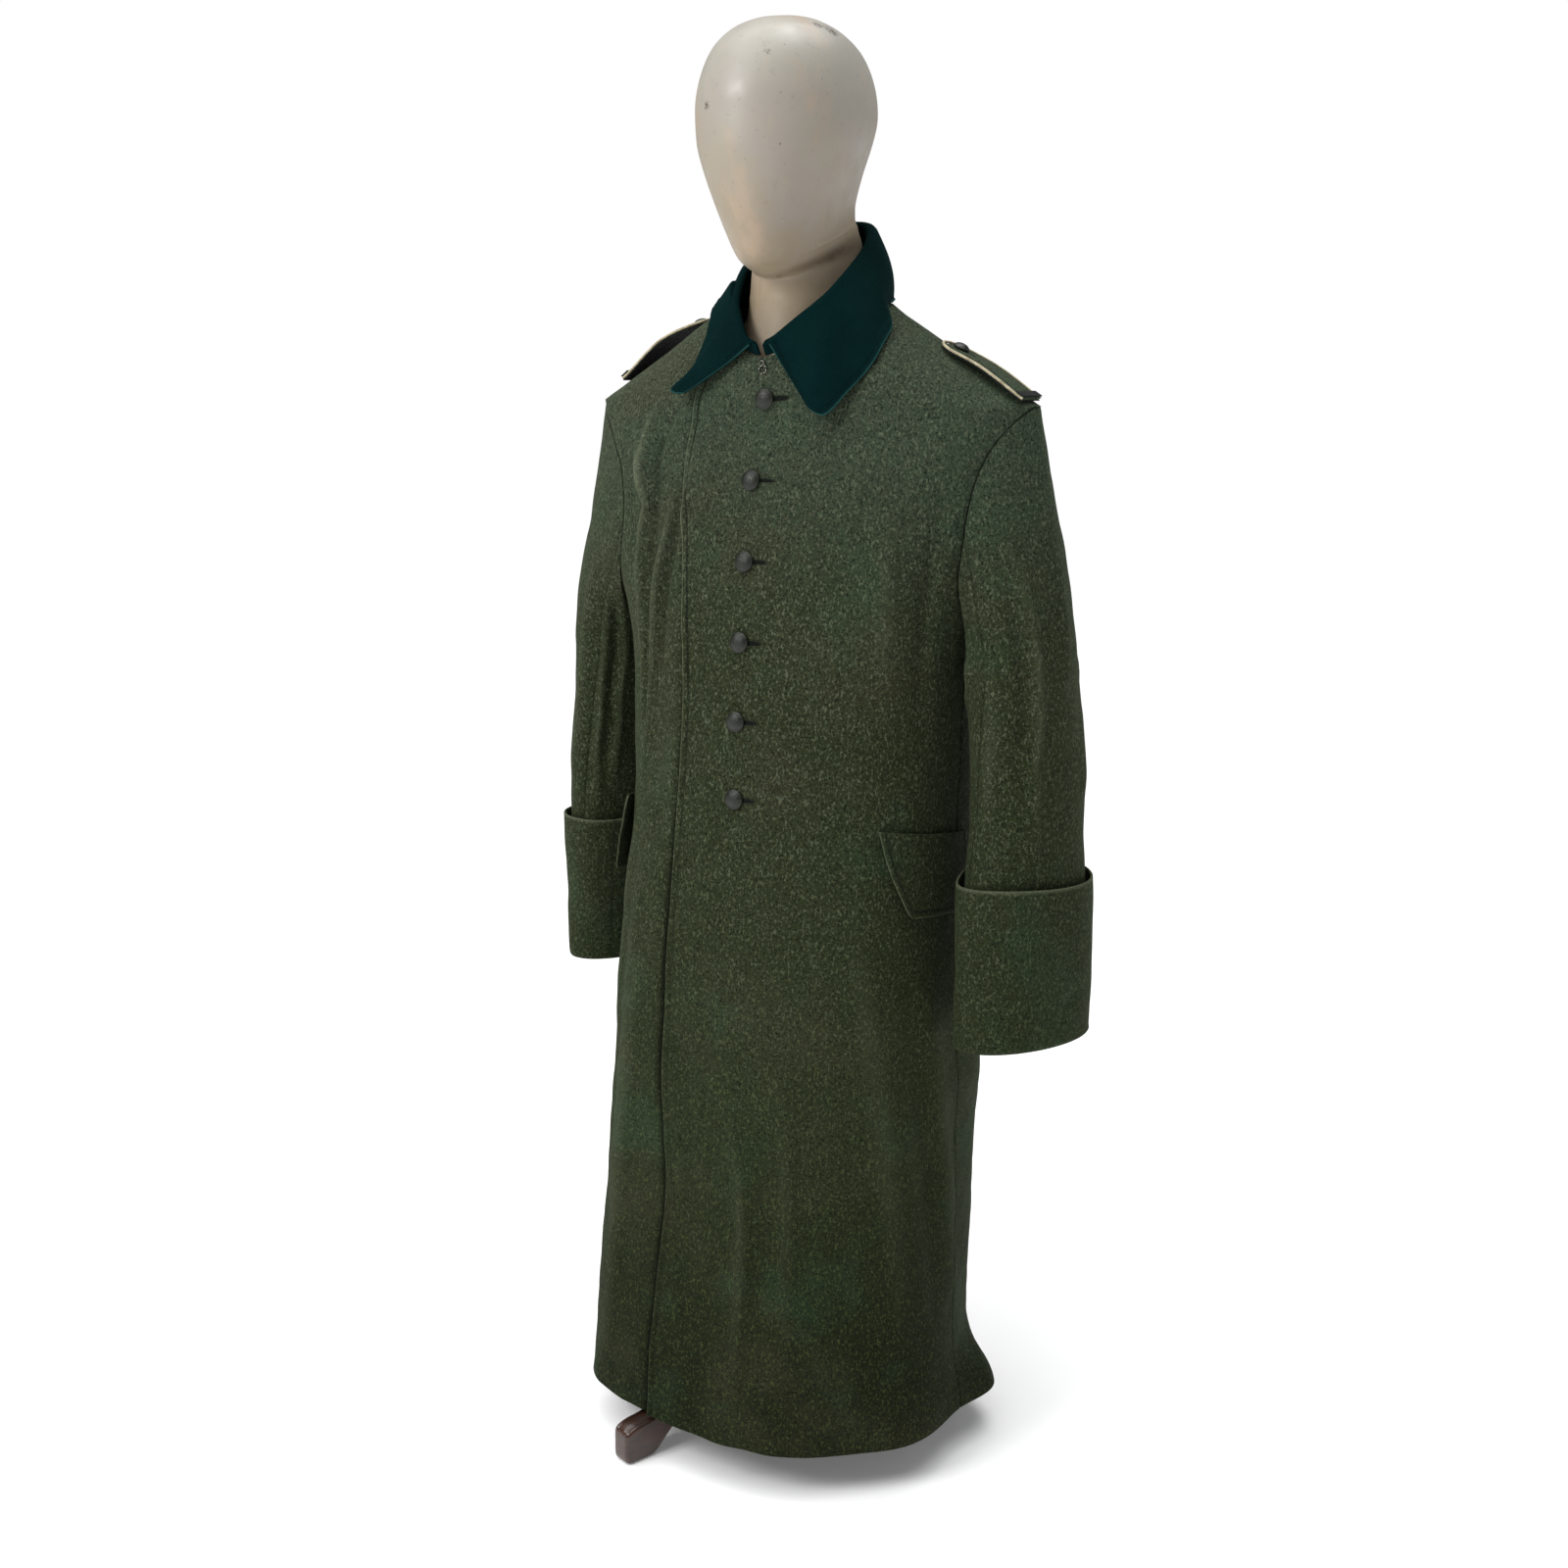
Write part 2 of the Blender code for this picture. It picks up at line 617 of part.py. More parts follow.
def mirrored(points, side):
    return points * np.array([side, 1.0, 1.0])


def make_sleeves():
    for hand, side, rows in (("left", 1, SLEEVE_LEFT), ("right", -1, SLEEVE_RIGHT)):
        outer, inner, angles = sleeve_grid(rows, side)
        outer = mirrored(outer, side)
        inner = mirrored(inner, side)
        count = len(angles)
        front = int(np.argmin(np.abs(angles - math.radians(FRONT_SEAM_TURN))))
        back = int(np.argmin(np.abs(angles - math.radians(BACK_SEAM_TURN))))
        top = [i % count for i in range(back, front + count + 1)]
        under = list(range(front, back + 1))
        for name, picks in (("sleeve_top_", top), ("sleeve_under_", under)):
            out = outer[:, picks].copy()
            into = inner[:, picks].copy()
            for end, beside in ((0, 1), (-1, -2)):
                pull = unit(out[:, beside] - out[:, end]) * SEAM_GAP / 2
                out[:, end] += pull
                into[:, end] += pull
            wall(name + hand, out[::-1], into[::-1], "wool")


def cuff_shape(rows, angles):
    """The cuff: turned up at the sleeve's end, standing off a little more towards its top."""
    fold_z = CUFF_BOTTOM + CUFF_CLOTH
    top_z = CUFF_TOP + 0.0025 * np.sin(2 * angles) - 0.002 * np.cos(angles)
    lip = sleeve_section(rows, SLEEVE_LEVELS[-1], angles)
    top = sleeve_section(rows, CUFF_TOP, angles)
    middle_z = (CUFF_BOTTOM + CUFF_TOP) / 2
    middle = sleeve_section(rows, middle_z, angles)
    along = np.roll(lip, -1, 0) - np.roll(lip, 1, 0)
    out = unit(np.stack([along[:, 1], -along[:, 0], np.zeros(len(angles))], -1))
    out = out * np.sign(np.sum(out * (lip - lip.mean(0))))
    reach = (
        (lip, -SLEEVE_CLOTH, CUFF_BOTTOM),
        (lip, 0.0020 + CUFF_CLOTH, CUFF_BOTTOM),
        (lip, 0.0030 + CUFF_CLOTH, fold_z + 0.006),
        (middle, 0.0050 + CUFF_CLOTH, middle_z),
        (top, 0.0062 + CUFF_CLOTH, top_z),
        (top, 0.0062, top_z),
        (middle, 0.0050, middle_z),
        (lip, 0.0030, fold_z + 0.006),
        (lip, 0.0016, fold_z),
        (lip, -SLEEVE_CLOTH, fold_z),
    )
    loops = []
    for section, offset, z in reach:
        loop = section + out * offset
        loop[:, 2] = z
        loops.append(loop)
    return np.array(loops)


def ring_body(name, loops, slot):
    """A closed ring swept round: each loop is one corner of its section."""
    rows, cols = loops.shape[:2]
    faces = []
    for r in range(rows):
        for c in range(cols):
            a = r * cols + c
            b = r * cols + (c + 1) % cols
            up = ((r + 1) % rows) * cols
            faces.append((a, b, up + (c + 1) % cols, up + c))
    return mesh_object(name, loops.reshape(-1, 3), faces, slot)


def make_cuffs():
    for hand, side, rows in (("left", 1, SLEEVE_LEFT), ("right", -1, SLEEVE_RIGHT)):
        angles = sleeve_grid(rows, side)[2]
        ring_body("cuff_" + hand, mirrored(cuff_shape(rows, angles), side), "wool")


def collar_value(rows, name, turn):
    return float(through(column(rows, COLLAR_COLUMNS, "turn"), column(rows, COLLAR_COLUMNS, name), turn))


def collar_line(turn, rows):
    """One section of the collar: up the stand, over the roll and down the fall."""
    base = body_point(math.radians(turn), NECKLINE)
    base = base - unit(base * np.array([1.0, 1.0, 0.0])) * CLOTH / 2
    base[2] += COLLAR_CLOTH / 2 + 2 * SEAM_GAP
    fold = np.array([collar_value(rows, name, turn) for name in ("fold_x", "fold_y", "fold_z")])
    edge = np.array([collar_value(rows, name, turn) for name in ("edge_x", "edge_y", "edge_z")])
    out = unit((edge - fold) * np.array([1.0, 1.0, 0.0]))
    points = [base + (fold - base) * t for t in (0.0, 0.34, 0.68)]
    for angle in (180.0, 125.0, 70.0, 15.0):
        a = math.radians(angle)
        lift = np.array([0.0, 0.0, COLLAR_ROLL * math.sin(a)])
        points.append(fold + out * COLLAR_ROLL * (1 + math.cos(a)) + lift)
    start = points[-1]
    droop = np.array([0.0, 0.0, -COLLAR_DROOP * max(0.0, 1.0 - turn / DROOP_TURN)])
    for t in (0.2, 0.4, 0.6, 0.8, 1.0):
        points.append(start + (edge - start) * t + (out * COLLAR_BULGE + droop) * math.sin(math.pi * t))
    return np.array(points)


def clear_of_body(points, clearance):
    """Moves each point out to at least this clearance above the coat's shoulders and chest."""
    turns, levels = np.meshgrid(np.radians(np.arange(-180.0, 180.0, 2.0)), np.linspace(1.02, NECKLINE, 90))
    surface = body_point(turns, levels).reshape(-1, 3)
    normal = body_normal(turns, levels).reshape(-1, 3)
    moved = []
    for point in points:
        nearest = np.argmin(np.linalg.norm(surface - point, axis=1))
        height = float(np.dot(point - surface[nearest], normal[nearest]))
        moved.append(point + normal[nearest] * max(0.0, clearance - height))
    return np.array(moved)


def make_collar():
    left = [collar_line(turn, COLLAR_LEFT) for turn in COLLAR_TURNS]
    right = [mirrored(collar_line(turn, COLLAR_RIGHT), -1) for turn in COLLAR_TURNS[:-1]]
    middle = np.array(right + left[::-1])
    fall = middle[:, 6:].reshape(-1, 3)
    middle[:, 6:] = clear_of_body(fall, COLLAR_CLOTH / 2 + 7 * SEAM_GAP).reshape(middle[:, 6:].shape)
    along = np.gradient(middle, axis=1)
    around = np.gradient(middle, axis=0)
    normal = unit(np.cross(around, along))
    half = normal * COLLAR_CLOTH / 2
    wall("collar", middle + half, middle - half, "collar_cloth")


def flap_value(name, level):
    low, high = FLAP_ROWS[1][0], FLAP_ROWS[0][0]
    return float(np.interp(level, [low, high], column(FLAP_ROWS[::-1], FLAP_COLUMNS, name)))


def make_flaps():
    """The hip pocket flaps: the panel's own points moved out, the front edge standing off."""
    levels = np.linspace(FLAP_ROWS[1][0], FLAP_ROWS[0][0], 5)
    for side in (1, -1):
        turns = []
        lifts = []
        for level in levels:
            start = math.radians(flap_value("front_turn", level))
            end = math.radians(flap_value("back_turn", level))
            turns.append(side * spaced_turns(level, start, end, 12))
            lifts.append(flap_value("front_lift", level) * np.linspace(1.0, 0.0, 12) ** 2)
        turns = np.array(turns)
        grid = np.repeat(levels[:, None], 12, 1)
        lift = (np.array(lifts) + 3 * SEAM_GAP)[..., None]
        normal = body_normal(turns, grid)
        base = body_point(turns, grid)
        outer = base + normal * (lift + CLOTH)
        wall("pocket_flap_" + hand_of(side), outer, base + normal * lift, "wool")


def turned(name, profile, steps, place, axis, slot):
    """A round piece: a Screw of a profile given as radius and height, standing along an axis."""
    data = bpy.data.meshes.new(name)
    edges = [(i, i + 1) for i in range(len(profile) - 1)]
    data.from_pydata([(radius, 0.0, height) for radius, height in profile], edges, [])
    thing = keep(name, data, slot)
    screw = thing.modifiers.new("Round", "SCREW")
    screw.steps = steps
    screw.render_steps = steps
    screw.use_merge_vertices = True
    screw.merge_threshold = 0.0001
    screw.use_smooth_shade = True
    thing.rotation_euler = Vector(axis).to_track_quat("Z", "Y").to_euler()
    thing.location = place
    return thing


def button_profile(radius, height):
    """From the dome's middle down its outer side to the back's middle."""
    return (
        (0.0, height),
        (radius * 0.45, height * 0.90),
        (radius * 0.78, height * 0.68),
        (radius, height * 0.32),
        (radius * 0.96, height * 0.12),
        (radius * 0.60, 0.0),
        (0.0, 0.0),
    )


def make_buttons():
    profile = button_profile(BUTTON_RADIUS, BUTTON_HEIGHT)
    levels = np.linspace(0.7, NECKLINE, 400)
    for number, off_x in enumerate(BUTTON_OFF_X):
        z = BUTTON_TOP_Z - number * BUTTON_STEP
        level = np.array(np.interp(z, body_point(0.0, levels)[:, 2], levels))
        turn = np.array(turn_at_x(float(level), off_x))
        place = body_point(turn, level)
        axis = body_normal(turn, level)
        turned(f"front_button_{number + 1}", profile, 18, place + axis * SEAM_GAP, axis, "button_metal")


def cord(name, points, radius, slot):
    """A wire or piping: a curve with a round bevel and filled ends."""
    data = bpy.data.curves.new(name, "CURVE")
    data.dimensions = "3D"
    data.bevel_depth = radius
    data.bevel_resolution = 1
    data.use_fill_caps = True
    line = data.splines.new("POLY")
    line.points.add(len(points) - 1)
    for spot, point in zip(line.points, points):
        spot.co = (*point, 1.0)
    return keep(name, data, slot)


def front_y(z):
    """How far forward the fronts' outer surface lies on the middle line, at this height."""
    spots = body_point(0.0, np.linspace(1.0, NECKLINE, 300))
    return float(np.interp(z, spots[:, 2], spots[:, 1]))


def make_hook():
    """The neck's hook and eye: the hook comes from the collar's right end, the eye lies on the left front."""
    hook = [(x, front_y(z) - ahead - HOOK_RADIUS, z) for x, z, ahead in HOOK_ROWS]
    cord("collar_hook", hook, HOOK_RADIUS, "hook_metal")
    eye = []
    for a in np.radians(np.linspace(100.0, 440.0, 13)):
        z = EYE_Z + EYE_RADIUS * math.sin(a)
        eye.append((EYE_X + EYE_RADIUS * math.cos(a), front_y(z) - HOOK_RADIUS - SEAM_GAP, z))
    cord("collar_eye", eye, HOOK_RADIUS, "hook_metal")


def strap_frame(side):
    """The shoulder strap's line along the ridge of the shoulder, with its upward direction."""
    levels = np.linspace(SHOULDER, NECKLINE, 300)
    ridge_x = half_width(levels)[::-1]
    ridge_z = levels[::-1]
    arch = STRAP_ARCH_LEFT if side > 0 else STRAP_ARCH_RIGHT
    s = np.linspace(0.0, 1.0, 13)
    neck_x, outer_x = STRAP_X_LEFT if side > 0 else STRAP_X_RIGHT
    x = neck_x + (outer_x - neck_x) * s
    z = np.interp(x, ridge_x, ridge_z) + arch * np.sin(math.pi * s) ** 1.5
    line = np.stack([x, np.full(len(s), STRAP_Y), z], -1)
    along = unit(np.gradient(line, axis=0))
    up = np.stack([-along[:, 2], np.zeros(len(s)), along[:, 0]], -1)
    return s, line, up


def strap_plate(name, side, half, low, thick, span, slot):
    """A flat layer of the strap, rounded at its neck end."""
    s, line, up = strap_frame(side)
    pick = (s >= span[0] - 1e-6) & (s <= span[1] + 1e-6)
    s, line, up = s[pick], line[pick], up[pick]
    run = (s - s[0]) * STRAP_LENGTH
    if span[0] > 0.5:
        width = np.full(len(s), half)
    else:
        width = half * np.sqrt(1.0 - np.clip(1.0 - (run + 0.003) / half, 0.0, 1.0) ** 2)
    across = np.linspace(-1.0, 1.0, 7)
    base = line[:, None, :] + np.array([0.0, 1.0, 0.0]) * (across[None, :, None] * width[:, None, None])
    under = base + up[:, None, :] * low
    over = base + up[:, None, :] * (low + thick)
    wall(name + hand_of(side), mirrored(over, side), mirrored(under, side), slot)


def make_straps():
    for side in (1, -1):
        hand = hand_of(side)
        low = 2 * SEAM_GAP
        strap_plate("strap_underlay_", side, STRAP_WIDTH / 2, low, UNDERLAY_CLOTH, (0.0, 1.0), "underlay")
        low += UNDERLAY_CLOTH + SEAM_GAP
        half = STRAP_WIDTH / 2 - 2 * PIPING_RADIUS - SEAM_GAP - 0.0004
        strap_plate("strap_", side, half, low, STRAP_CLOTH, (0.0, 1.0), "wool")
        s, line, up = strap_frame(side)
        middle = low + PIPING_RADIUS
        reach = half + SEAM_GAP + PIPING_RADIUS + 0.0002
        rim = line + up * middle
        runs = s * STRAP_LENGTH
        before = rim[0] - unit(rim[1] - rim[0]) * 0.010
        rim = np.concatenate([before[None], rim])
        runs = np.concatenate([[-0.010], runs])
        tail = [run for run in runs if run > half - 0.002]
        route = [(run, -reach) for run in tail[::-1]]
        for a in np.radians(np.linspace(-90.0, 90.0, 13)):
            route.append((half - 0.003 - reach * math.cos(a), reach * math.sin(a)))
        route += [(run, reach) for run in tail]
        route = [
            (side * np.interp(run, runs, rim[:, 0]), STRAP_Y + y, np.interp(run, runs, rim[:, 2]))
            for run, y in route
        ]
        cord("strap_piping_" + hand, route, PIPING_RADIUS, "piping")
        top = low + STRAP_CLOTH + SEAM_GAP
        strap_plate("strap_loop_", side, STRAP_WIDTH / 2, top + 0.0004, UNDERLAY_CLOTH, (0.90, 1.0), "underlay")
        spot = line[1] * 0.4 + line[2] * 0.6
        axis = mirrored(up[2], side)
        place = mirrored(spot + up[2] * (top + 0.0003), side)
        turned("strap_button_" + hand, button_profile(0.0085, 0.0055), 16, place, axis, "button_metal")


def make_torso():
    rings = []
    for level, inset in TORSO_ROWS:
        turns = spaced_turns(level, -math.pi, math.pi, 33)[:-1]
        grid = np.full(len(turns), level)
        lapped = inset + (CLOTH + LAP_GAP + 0.0012) * np.clip(2.5 * np.cos(turns), 0.0, 1.0)
        rings.append(body_point(turns, grid) - body_normal(turns, grid) * lapped[:, None])
    rings[0][:, 2] = TORSO_BOTTOM
    turns = np.arctan2(rings[-1][:, 0], -rings[-1][:, 1])
    across = NECK_HALF_WIDTH * np.sin(turns)
    along = NECK_MIDDLE_Y - NECK_HALF_DEPTH * np.cos(turns)
    top = np.stack([across, along, np.full(32, NECK_BASE)], -1)
    rings.append(top)
    stack("form_torso", rings, "form_shell")


def make_head():
    rings = []
    for z, half, front_y, back_y in HEAD_ROWS:
        centre = 0.35 * front_y + 0.65 * back_y if z < 1.30 else (front_y + back_y) / 2
        turns = np.radians(np.arange(0.0, 360.0, 15.0))
        depth = np.where(np.cos(turns) > 0, centre - front_y, back_y - centre)
        ring = np.stack([half * np.sin(turns), centre - depth * np.cos(turns), np.full(24, z)], -1)
        rings.append(ring)
    stack("form_head", rings, "form_shell", pole=[0.0, -0.036, 1.5095])


def make_stand():
    middle = np.array([STAND_X, STAND_Y, 0.0])
    pole = ((0.0, TORSO_BOTTOM - SEAM_GAP), (POLE_RADIUS, TORSO_BOTTOM - SEAM_GAP), (POLE_RADIUS, 0.1653), (0.0, 0.1653))
    turned("stand_pole", pole, 24, middle, (0, 0, 1), "stand_wood")
    hub = (
        (0.0, 0.165),
        (0.024, 0.165),
        (0.030, 0.158),
        (0.032, 0.148),
        (0.040, 0.138),
        (HUB_RADIUS, 0.132),
        (HUB_RADIUS, 0.070),
        (0.034, 0.058),
        (0.018, 0.050),
        (0.0, 0.048),
    )
    turned("stand_hub", hub, 36, middle, (0, 0, 1), "stand_wood")
    for number, turn in enumerate(LEG_TURNS):
        data = bpy.data.curves.new(f"stand_leg_{number + 1}", "CURVE")
        data.dimensions = "2D"
        data.fill_mode = "BOTH"
        data.extrude = LEG_THICK / 2
        line = data.splines.new("POLY")
        line.points.add(len(LEG_OUTLINE) - 1)
        for spot, (out, up) in zip(line.points, LEG_OUTLINE):
            spot.co = (out, up, 0.0, 1.0)
        line.use_cyclic_u = True
        leg = keep(f"stand_leg_{number + 1}", data, "stand_wood")
        leg.rotation_euler = (math.pi / 2, 0.0, math.radians(turn))
        leg.location = middle


def centre_on_origin():
    for thing in collection().objects:
        thing.location += Vector((MIDDLE_X, MIDDLE_Y, 0.0))


def main():
    clear_scene()
    make_fronts()
    make_backs()
    make_sleeves()
    make_cuffs()
    make_collar()
    make_flaps()
    make_buttons()
    make_hook()
    make_straps()
    make_torso()
    make_head()
    make_stand()
    centre_on_origin()


main()
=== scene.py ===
"""The looks of a long wool greatcoat on its dress form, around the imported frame. Metres, +Z up."""

import math

import bmesh
import bpy
import numpy as np
from mathutils import Matrix, Vector


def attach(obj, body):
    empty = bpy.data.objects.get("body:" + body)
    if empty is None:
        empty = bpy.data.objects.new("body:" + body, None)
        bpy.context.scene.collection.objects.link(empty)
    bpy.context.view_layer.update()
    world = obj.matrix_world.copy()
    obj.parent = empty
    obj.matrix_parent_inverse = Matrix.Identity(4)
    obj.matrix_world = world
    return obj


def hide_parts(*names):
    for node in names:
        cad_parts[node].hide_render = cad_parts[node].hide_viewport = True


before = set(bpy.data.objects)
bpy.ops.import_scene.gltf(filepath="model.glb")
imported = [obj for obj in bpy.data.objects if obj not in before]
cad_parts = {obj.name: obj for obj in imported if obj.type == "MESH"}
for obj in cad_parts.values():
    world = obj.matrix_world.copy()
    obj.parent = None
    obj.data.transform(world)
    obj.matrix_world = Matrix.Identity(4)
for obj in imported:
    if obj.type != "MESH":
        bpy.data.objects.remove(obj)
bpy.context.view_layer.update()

# ---- The coat's form, as in the CAD: sizes and tables ----
CLOTH = 0.0024
SLEEVE_CLOTH = 0.0022
SEAM_GAP = 0.0003
LAP_GAP = 0.0010
HEM_Z = 0.050
ARMPIT = 0.925
SHOULDER = 1.137
NECKLINE = 1.236
BUTTON_TOP_Z = 1.141
BUTTON_STEP = 0.0802
BUTTON_OFF_X = (0.0075, -0.0020, 0.0010, 0.0030, 0.0030, 0.0030)
BUTTON_RADIUS = 0.0105
BUTTON_HEIGHT = 0.0065
CUFF_BOTTOM = 0.491
CUFF_TOP = 0.663
CUFF_CLOTH = 0.0026
COLLAR_CLOTH = 0.0026
COLLAR_ROLL = 0.0045
COLLAR_BULGE = 0.0060
STRAP_LENGTH = 0.100
STRAP_WIDTH = 0.047
STRAP_CLOTH = 0.0026
STRAP_X_LEFT = (0.158, 0.248)
STRAP_X_RIGHT = (0.121, 0.222)
STRAP_Y = 0.008
STRAP_ARCH_LEFT = 0.004
STRAP_ARCH_RIGHT = 0.012
UNDERLAY_CLOTH = 0.0014
PIPING_RADIUS = 0.0014
STAND_X = -0.030
STAND_Y = -0.045
TORSO_BOTTOM = 0.600
LEG_TURNS = (-109.2, 10.8, 130.8)
LEG_THICK = 0.027
HOOK_RADIUS = 0.0007
HOOK_ROWS = (
    (-0.0010, 1.1812, 0.0006),
    (-0.0012, 1.1795, 0.0018),
    (0.0010, 1.1785, 0.0027),
    (0.0040, 1.1780, 0.0027),
    (0.0047, 1.1762, 0.0027),
    (0.0032, 1.1748, 0.0022),
)
EYE_X = 0.0030
EYE_Z = 1.1700
EYE_RADIUS = 0.0042
BODY_COLUMNS = ("side_z", "front_z", "back_z", "half_width", "front", "back", "centre_y", "square")
BODY_ROWS = (
    (0.050, 0.050, 0.050, 0.222, 0.199, 0.196, -0.005, 2.35),
    (0.230, 0.230, 0.230, 0.208, 0.186, 0.184, -0.003, 2.40),
    (0.430, 0.430, 0.430, 0.195, 0.171, 0.174, 0.000, 2.50),
    (0.580, 0.580, 0.580, 0.188, 0.159, 0.165, 0.000, 2.60),
    (0.740, 0.740, 0.740, 0.187, 0.145, 0.153, 0.000, 2.50),
    (0.880, 0.880, 0.880, 0.1925, 0.137, 0.145, 0.000, 2.40),
    (0.930, 0.929, 0.931, 0.206, 0.132, 0.142, 0.001, 2.35),
    (0.985, 0.981, 0.988, 0.222, 0.124, 0.138, 0.002, 2.30),
    (1.060, 1.050, 1.070, 0.240, 0.113, 0.130, 0.004, 2.20),
    (1.105, 1.090, 1.120, 0.249, 0.107, 0.124, 0.007, 2.10),
    (1.137, 1.118, 1.146, 0.256, 0.105, 0.118, 0.010, 2.00),
    (1.166, 1.138, 1.178, 0.205, 0.104, 0.108, 0.008, 2.00),
    (1.192, 1.156, 1.203, 0.160, 0.099, 0.094, 0.004, 2.00),
    (1.218, 1.170, 1.224, 0.119, 0.093, 0.080, 0.000, 2.00),
    (1.236, 1.182, 1.242, 0.082, 0.085, 0.066, -0.004, 2.00),
)
FOLD_ROWS = (
    (-51.0, -48.0, 16.0, 0.0120, 0.0150, 0.660, 0.30),
    (-68.0, -60.0, 11.0, -0.0090, -0.0030, 0.800, 0.30),
    (-33.0, -27.0, 6.0, 0.0000, 0.0050, 1.090, 0.12),
    (9.0, 4.0, 6.0, 0.0035, 0.0010, 0.500, 0.25),
    (22.0, 16.0, 6.0, 0.0030, 0.0008, 0.480, 0.25),
    (48.0, 42.0, 13.0, -0.0080, -0.0020, 0.460, 0.30),
    (112.0, 108.0, 30.0, -0.0300, 0.0000, 0.430, 0.10),
    (108.0, 108.0, 15.0, 0.0370, 0.0300, 0.085, 0.07),
    (146.0, 150.0, 9.0, -0.0070, -0.0020, 0.620, 0.30),
    (168.0, 168.0, 8.0, 0.0060, 0.0020, 0.640, 0.30),
    (-166.0, -168.0, 9.0, 0.0060, 0.0020, 0.600, 0.30),
    (-143.0, -146.0, 9.0, -0.0070, -0.0020, 0.580, 0.30),
    (-118.0, -120.0, 10.0, 0.0060, 0.0020, 0.540, 0.30),
    (-94.0, -94.0, 9.0, -0.0060, -0.0020, 0.460, 0.22),
)
EDGE_COLUMNS = ("level", "over_x")
EDGE_ROWS = (
    (0.050, -0.074),
    (0.180, -0.070),
    (0.300, -0.060),
    (0.440, -0.073),
    (0.600, -0.071),
    (0.850, -0.064),
    (0.990, -0.076),
    (1.077, -0.085),
    (1.140, -0.084),
    (1.236, -0.055),
)
ARMHOLE_COLUMNS = ("level", "left_front", "left_back", "right_front", "right_back")
ARMHOLE_ROWS = (
    (0.925, 90.0, 90.0, 90.0, 90.0),
    (0.930, 84.0, 101.0, 81.0, 98.0),
    (0.942, 79.0, 109.0, 74.0, 104.5),
    (0.960, 76.0, 114.0, 69.5, 108.5),
    (0.985, 75.0, 117.0, 66.5, 111.0),
    (1.015, 75.0, 118.0, 65.0, 112.0),
    (1.045, 75.5, 117.5, 66.0, 111.5),
    (1.075, 77.0, 115.0, 69.0, 110.0),
    (1.100, 79.5, 111.0, 73.5, 107.0),
    (1.120, 83.0, 105.0, 79.0, 102.0),
    (1.132, 86.5, 98.5, 84.5, 96.5),
    (1.137, 90.0, 90.0, 90.0, 90.0),
)
SLEEVE_COLUMNS = ("z", "centre_x", "centre_y", "half_x", "half_y", "twist")
SLEEVE_LEFT = (
    (0.490, 0.2680, 0.000, 0.0400, 0.0790, -25.0),
    (0.560, 0.2670, 0.001, 0.0410, 0.0780, -24.0),
    (0.655, 0.2640, 0.004, 0.0450, 0.0760, -20.0),
    (0.760, 0.2600, 0.009, 0.0490, 0.0715, -12.0),
    (0.860, 0.2500, 0.012, 0.0510, 0.0725, 0.0),
)
SLEEVE_RIGHT = (
    (0.490, 0.2700, 0.046, 0.0370, 0.0710, 17.0),
    (0.560, 0.2700, 0.045, 0.0390, 0.0710, 16.0),
    (0.655, 0.2690, 0.042, 0.0430, 0.0710, 13.0),
    (0.760, 0.2620, 0.037, 0.0490, 0.0715, 8.0),
    (0.860, 0.2490, 0.027, 0.0490, 0.0725, 0.0),
)
COLLAR_COLUMNS = ("turn", "fold_x", "fold_y", "fold_z", "edge_x", "edge_y", "edge_z")
COLLAR_LEFT = (
    (2.0, 0.003, -0.094, 1.193, 0.064, -0.105, 1.131),
    (9.0, 0.013, -0.093, 1.198, 0.079, -0.105, 1.1265),
    (22.0, 0.031, -0.087, 1.213, 0.099, -0.090, 1.150),
    (45.0, 0.058, -0.068, 1.240, 0.116, -0.059, 1.186),
    (60.0, 0.065, -0.044, 1.260, 0.115, -0.036, 1.204),
    (75.0, 0.067, -0.016, 1.280, 0.099, -0.014, 1.224),
    (120.0, 0.053, 0.026, 1.310, 0.073, 0.045, 1.238),
    (180.0, 0.000, 0.049, 1.316, 0.000, 0.079, 1.236),
)
COLLAR_RIGHT = (
    (2.0, 0.003, -0.094, 1.192, 0.090, -0.103, 1.1435),
    (9.0, 0.014, -0.092, 1.197, 0.104, -0.098, 1.1485),
    (22.0, 0.026, -0.084, 1.211, 0.088, -0.084, 1.168),
    (45.0, 0.044, -0.064, 1.238, 0.073, -0.058, 1.200),
    (75.0, 0.0600, -0.014, 1.276, 0.072, -0.008, 1.230),
    (120.0, 0.051, 0.027, 1.308, 0.069, 0.045, 1.238),
    (180.0, 0.000, 0.049, 1.316, 0.000, 0.079, 1.236),
)
COLLAR_DROOP = 0.0070
DROOP_TURN = 22.0
FLAP_COLUMNS = ("level", "front_turn", "back_turn", "front_lift")
FLAP_ROWS = (
    (0.718, 54.5, 96.0, 0.0030),
    (0.632, 63.0, 100.0, 0.0075),
)
TORSO_COLUMNS = ("level", "inset")
TORSO_ROWS = (
    (0.600, 0.034),
    (0.640, 0.026),
    (0.740, 0.022),
    (0.860, 0.020),
    (0.950, 0.018),
    (1.040, 0.015),
    (1.100, 0.009),
    (1.130, 0.0046),
    (1.166, 0.0034),
    (1.192, 0.0033),
    (1.218, 0.0034),
    (1.232, 0.0060),
)
LEG_OUTLINE = (
    (0.1885, 0.000),
    (0.1500, 0.000),
    (0.1380, 0.012),
    (0.1150, 0.034),
    (0.0850, 0.056),
    (0.0428, 0.070),
    (0.0428, 0.132),
    (0.0700, 0.128),
    (0.1000, 0.106),
    (0.1220, 0.076),
    (0.1420, 0.0500),
    (0.1500, 0.0455),
    (0.1760, 0.0430),
    (0.1885, 0.038),
)
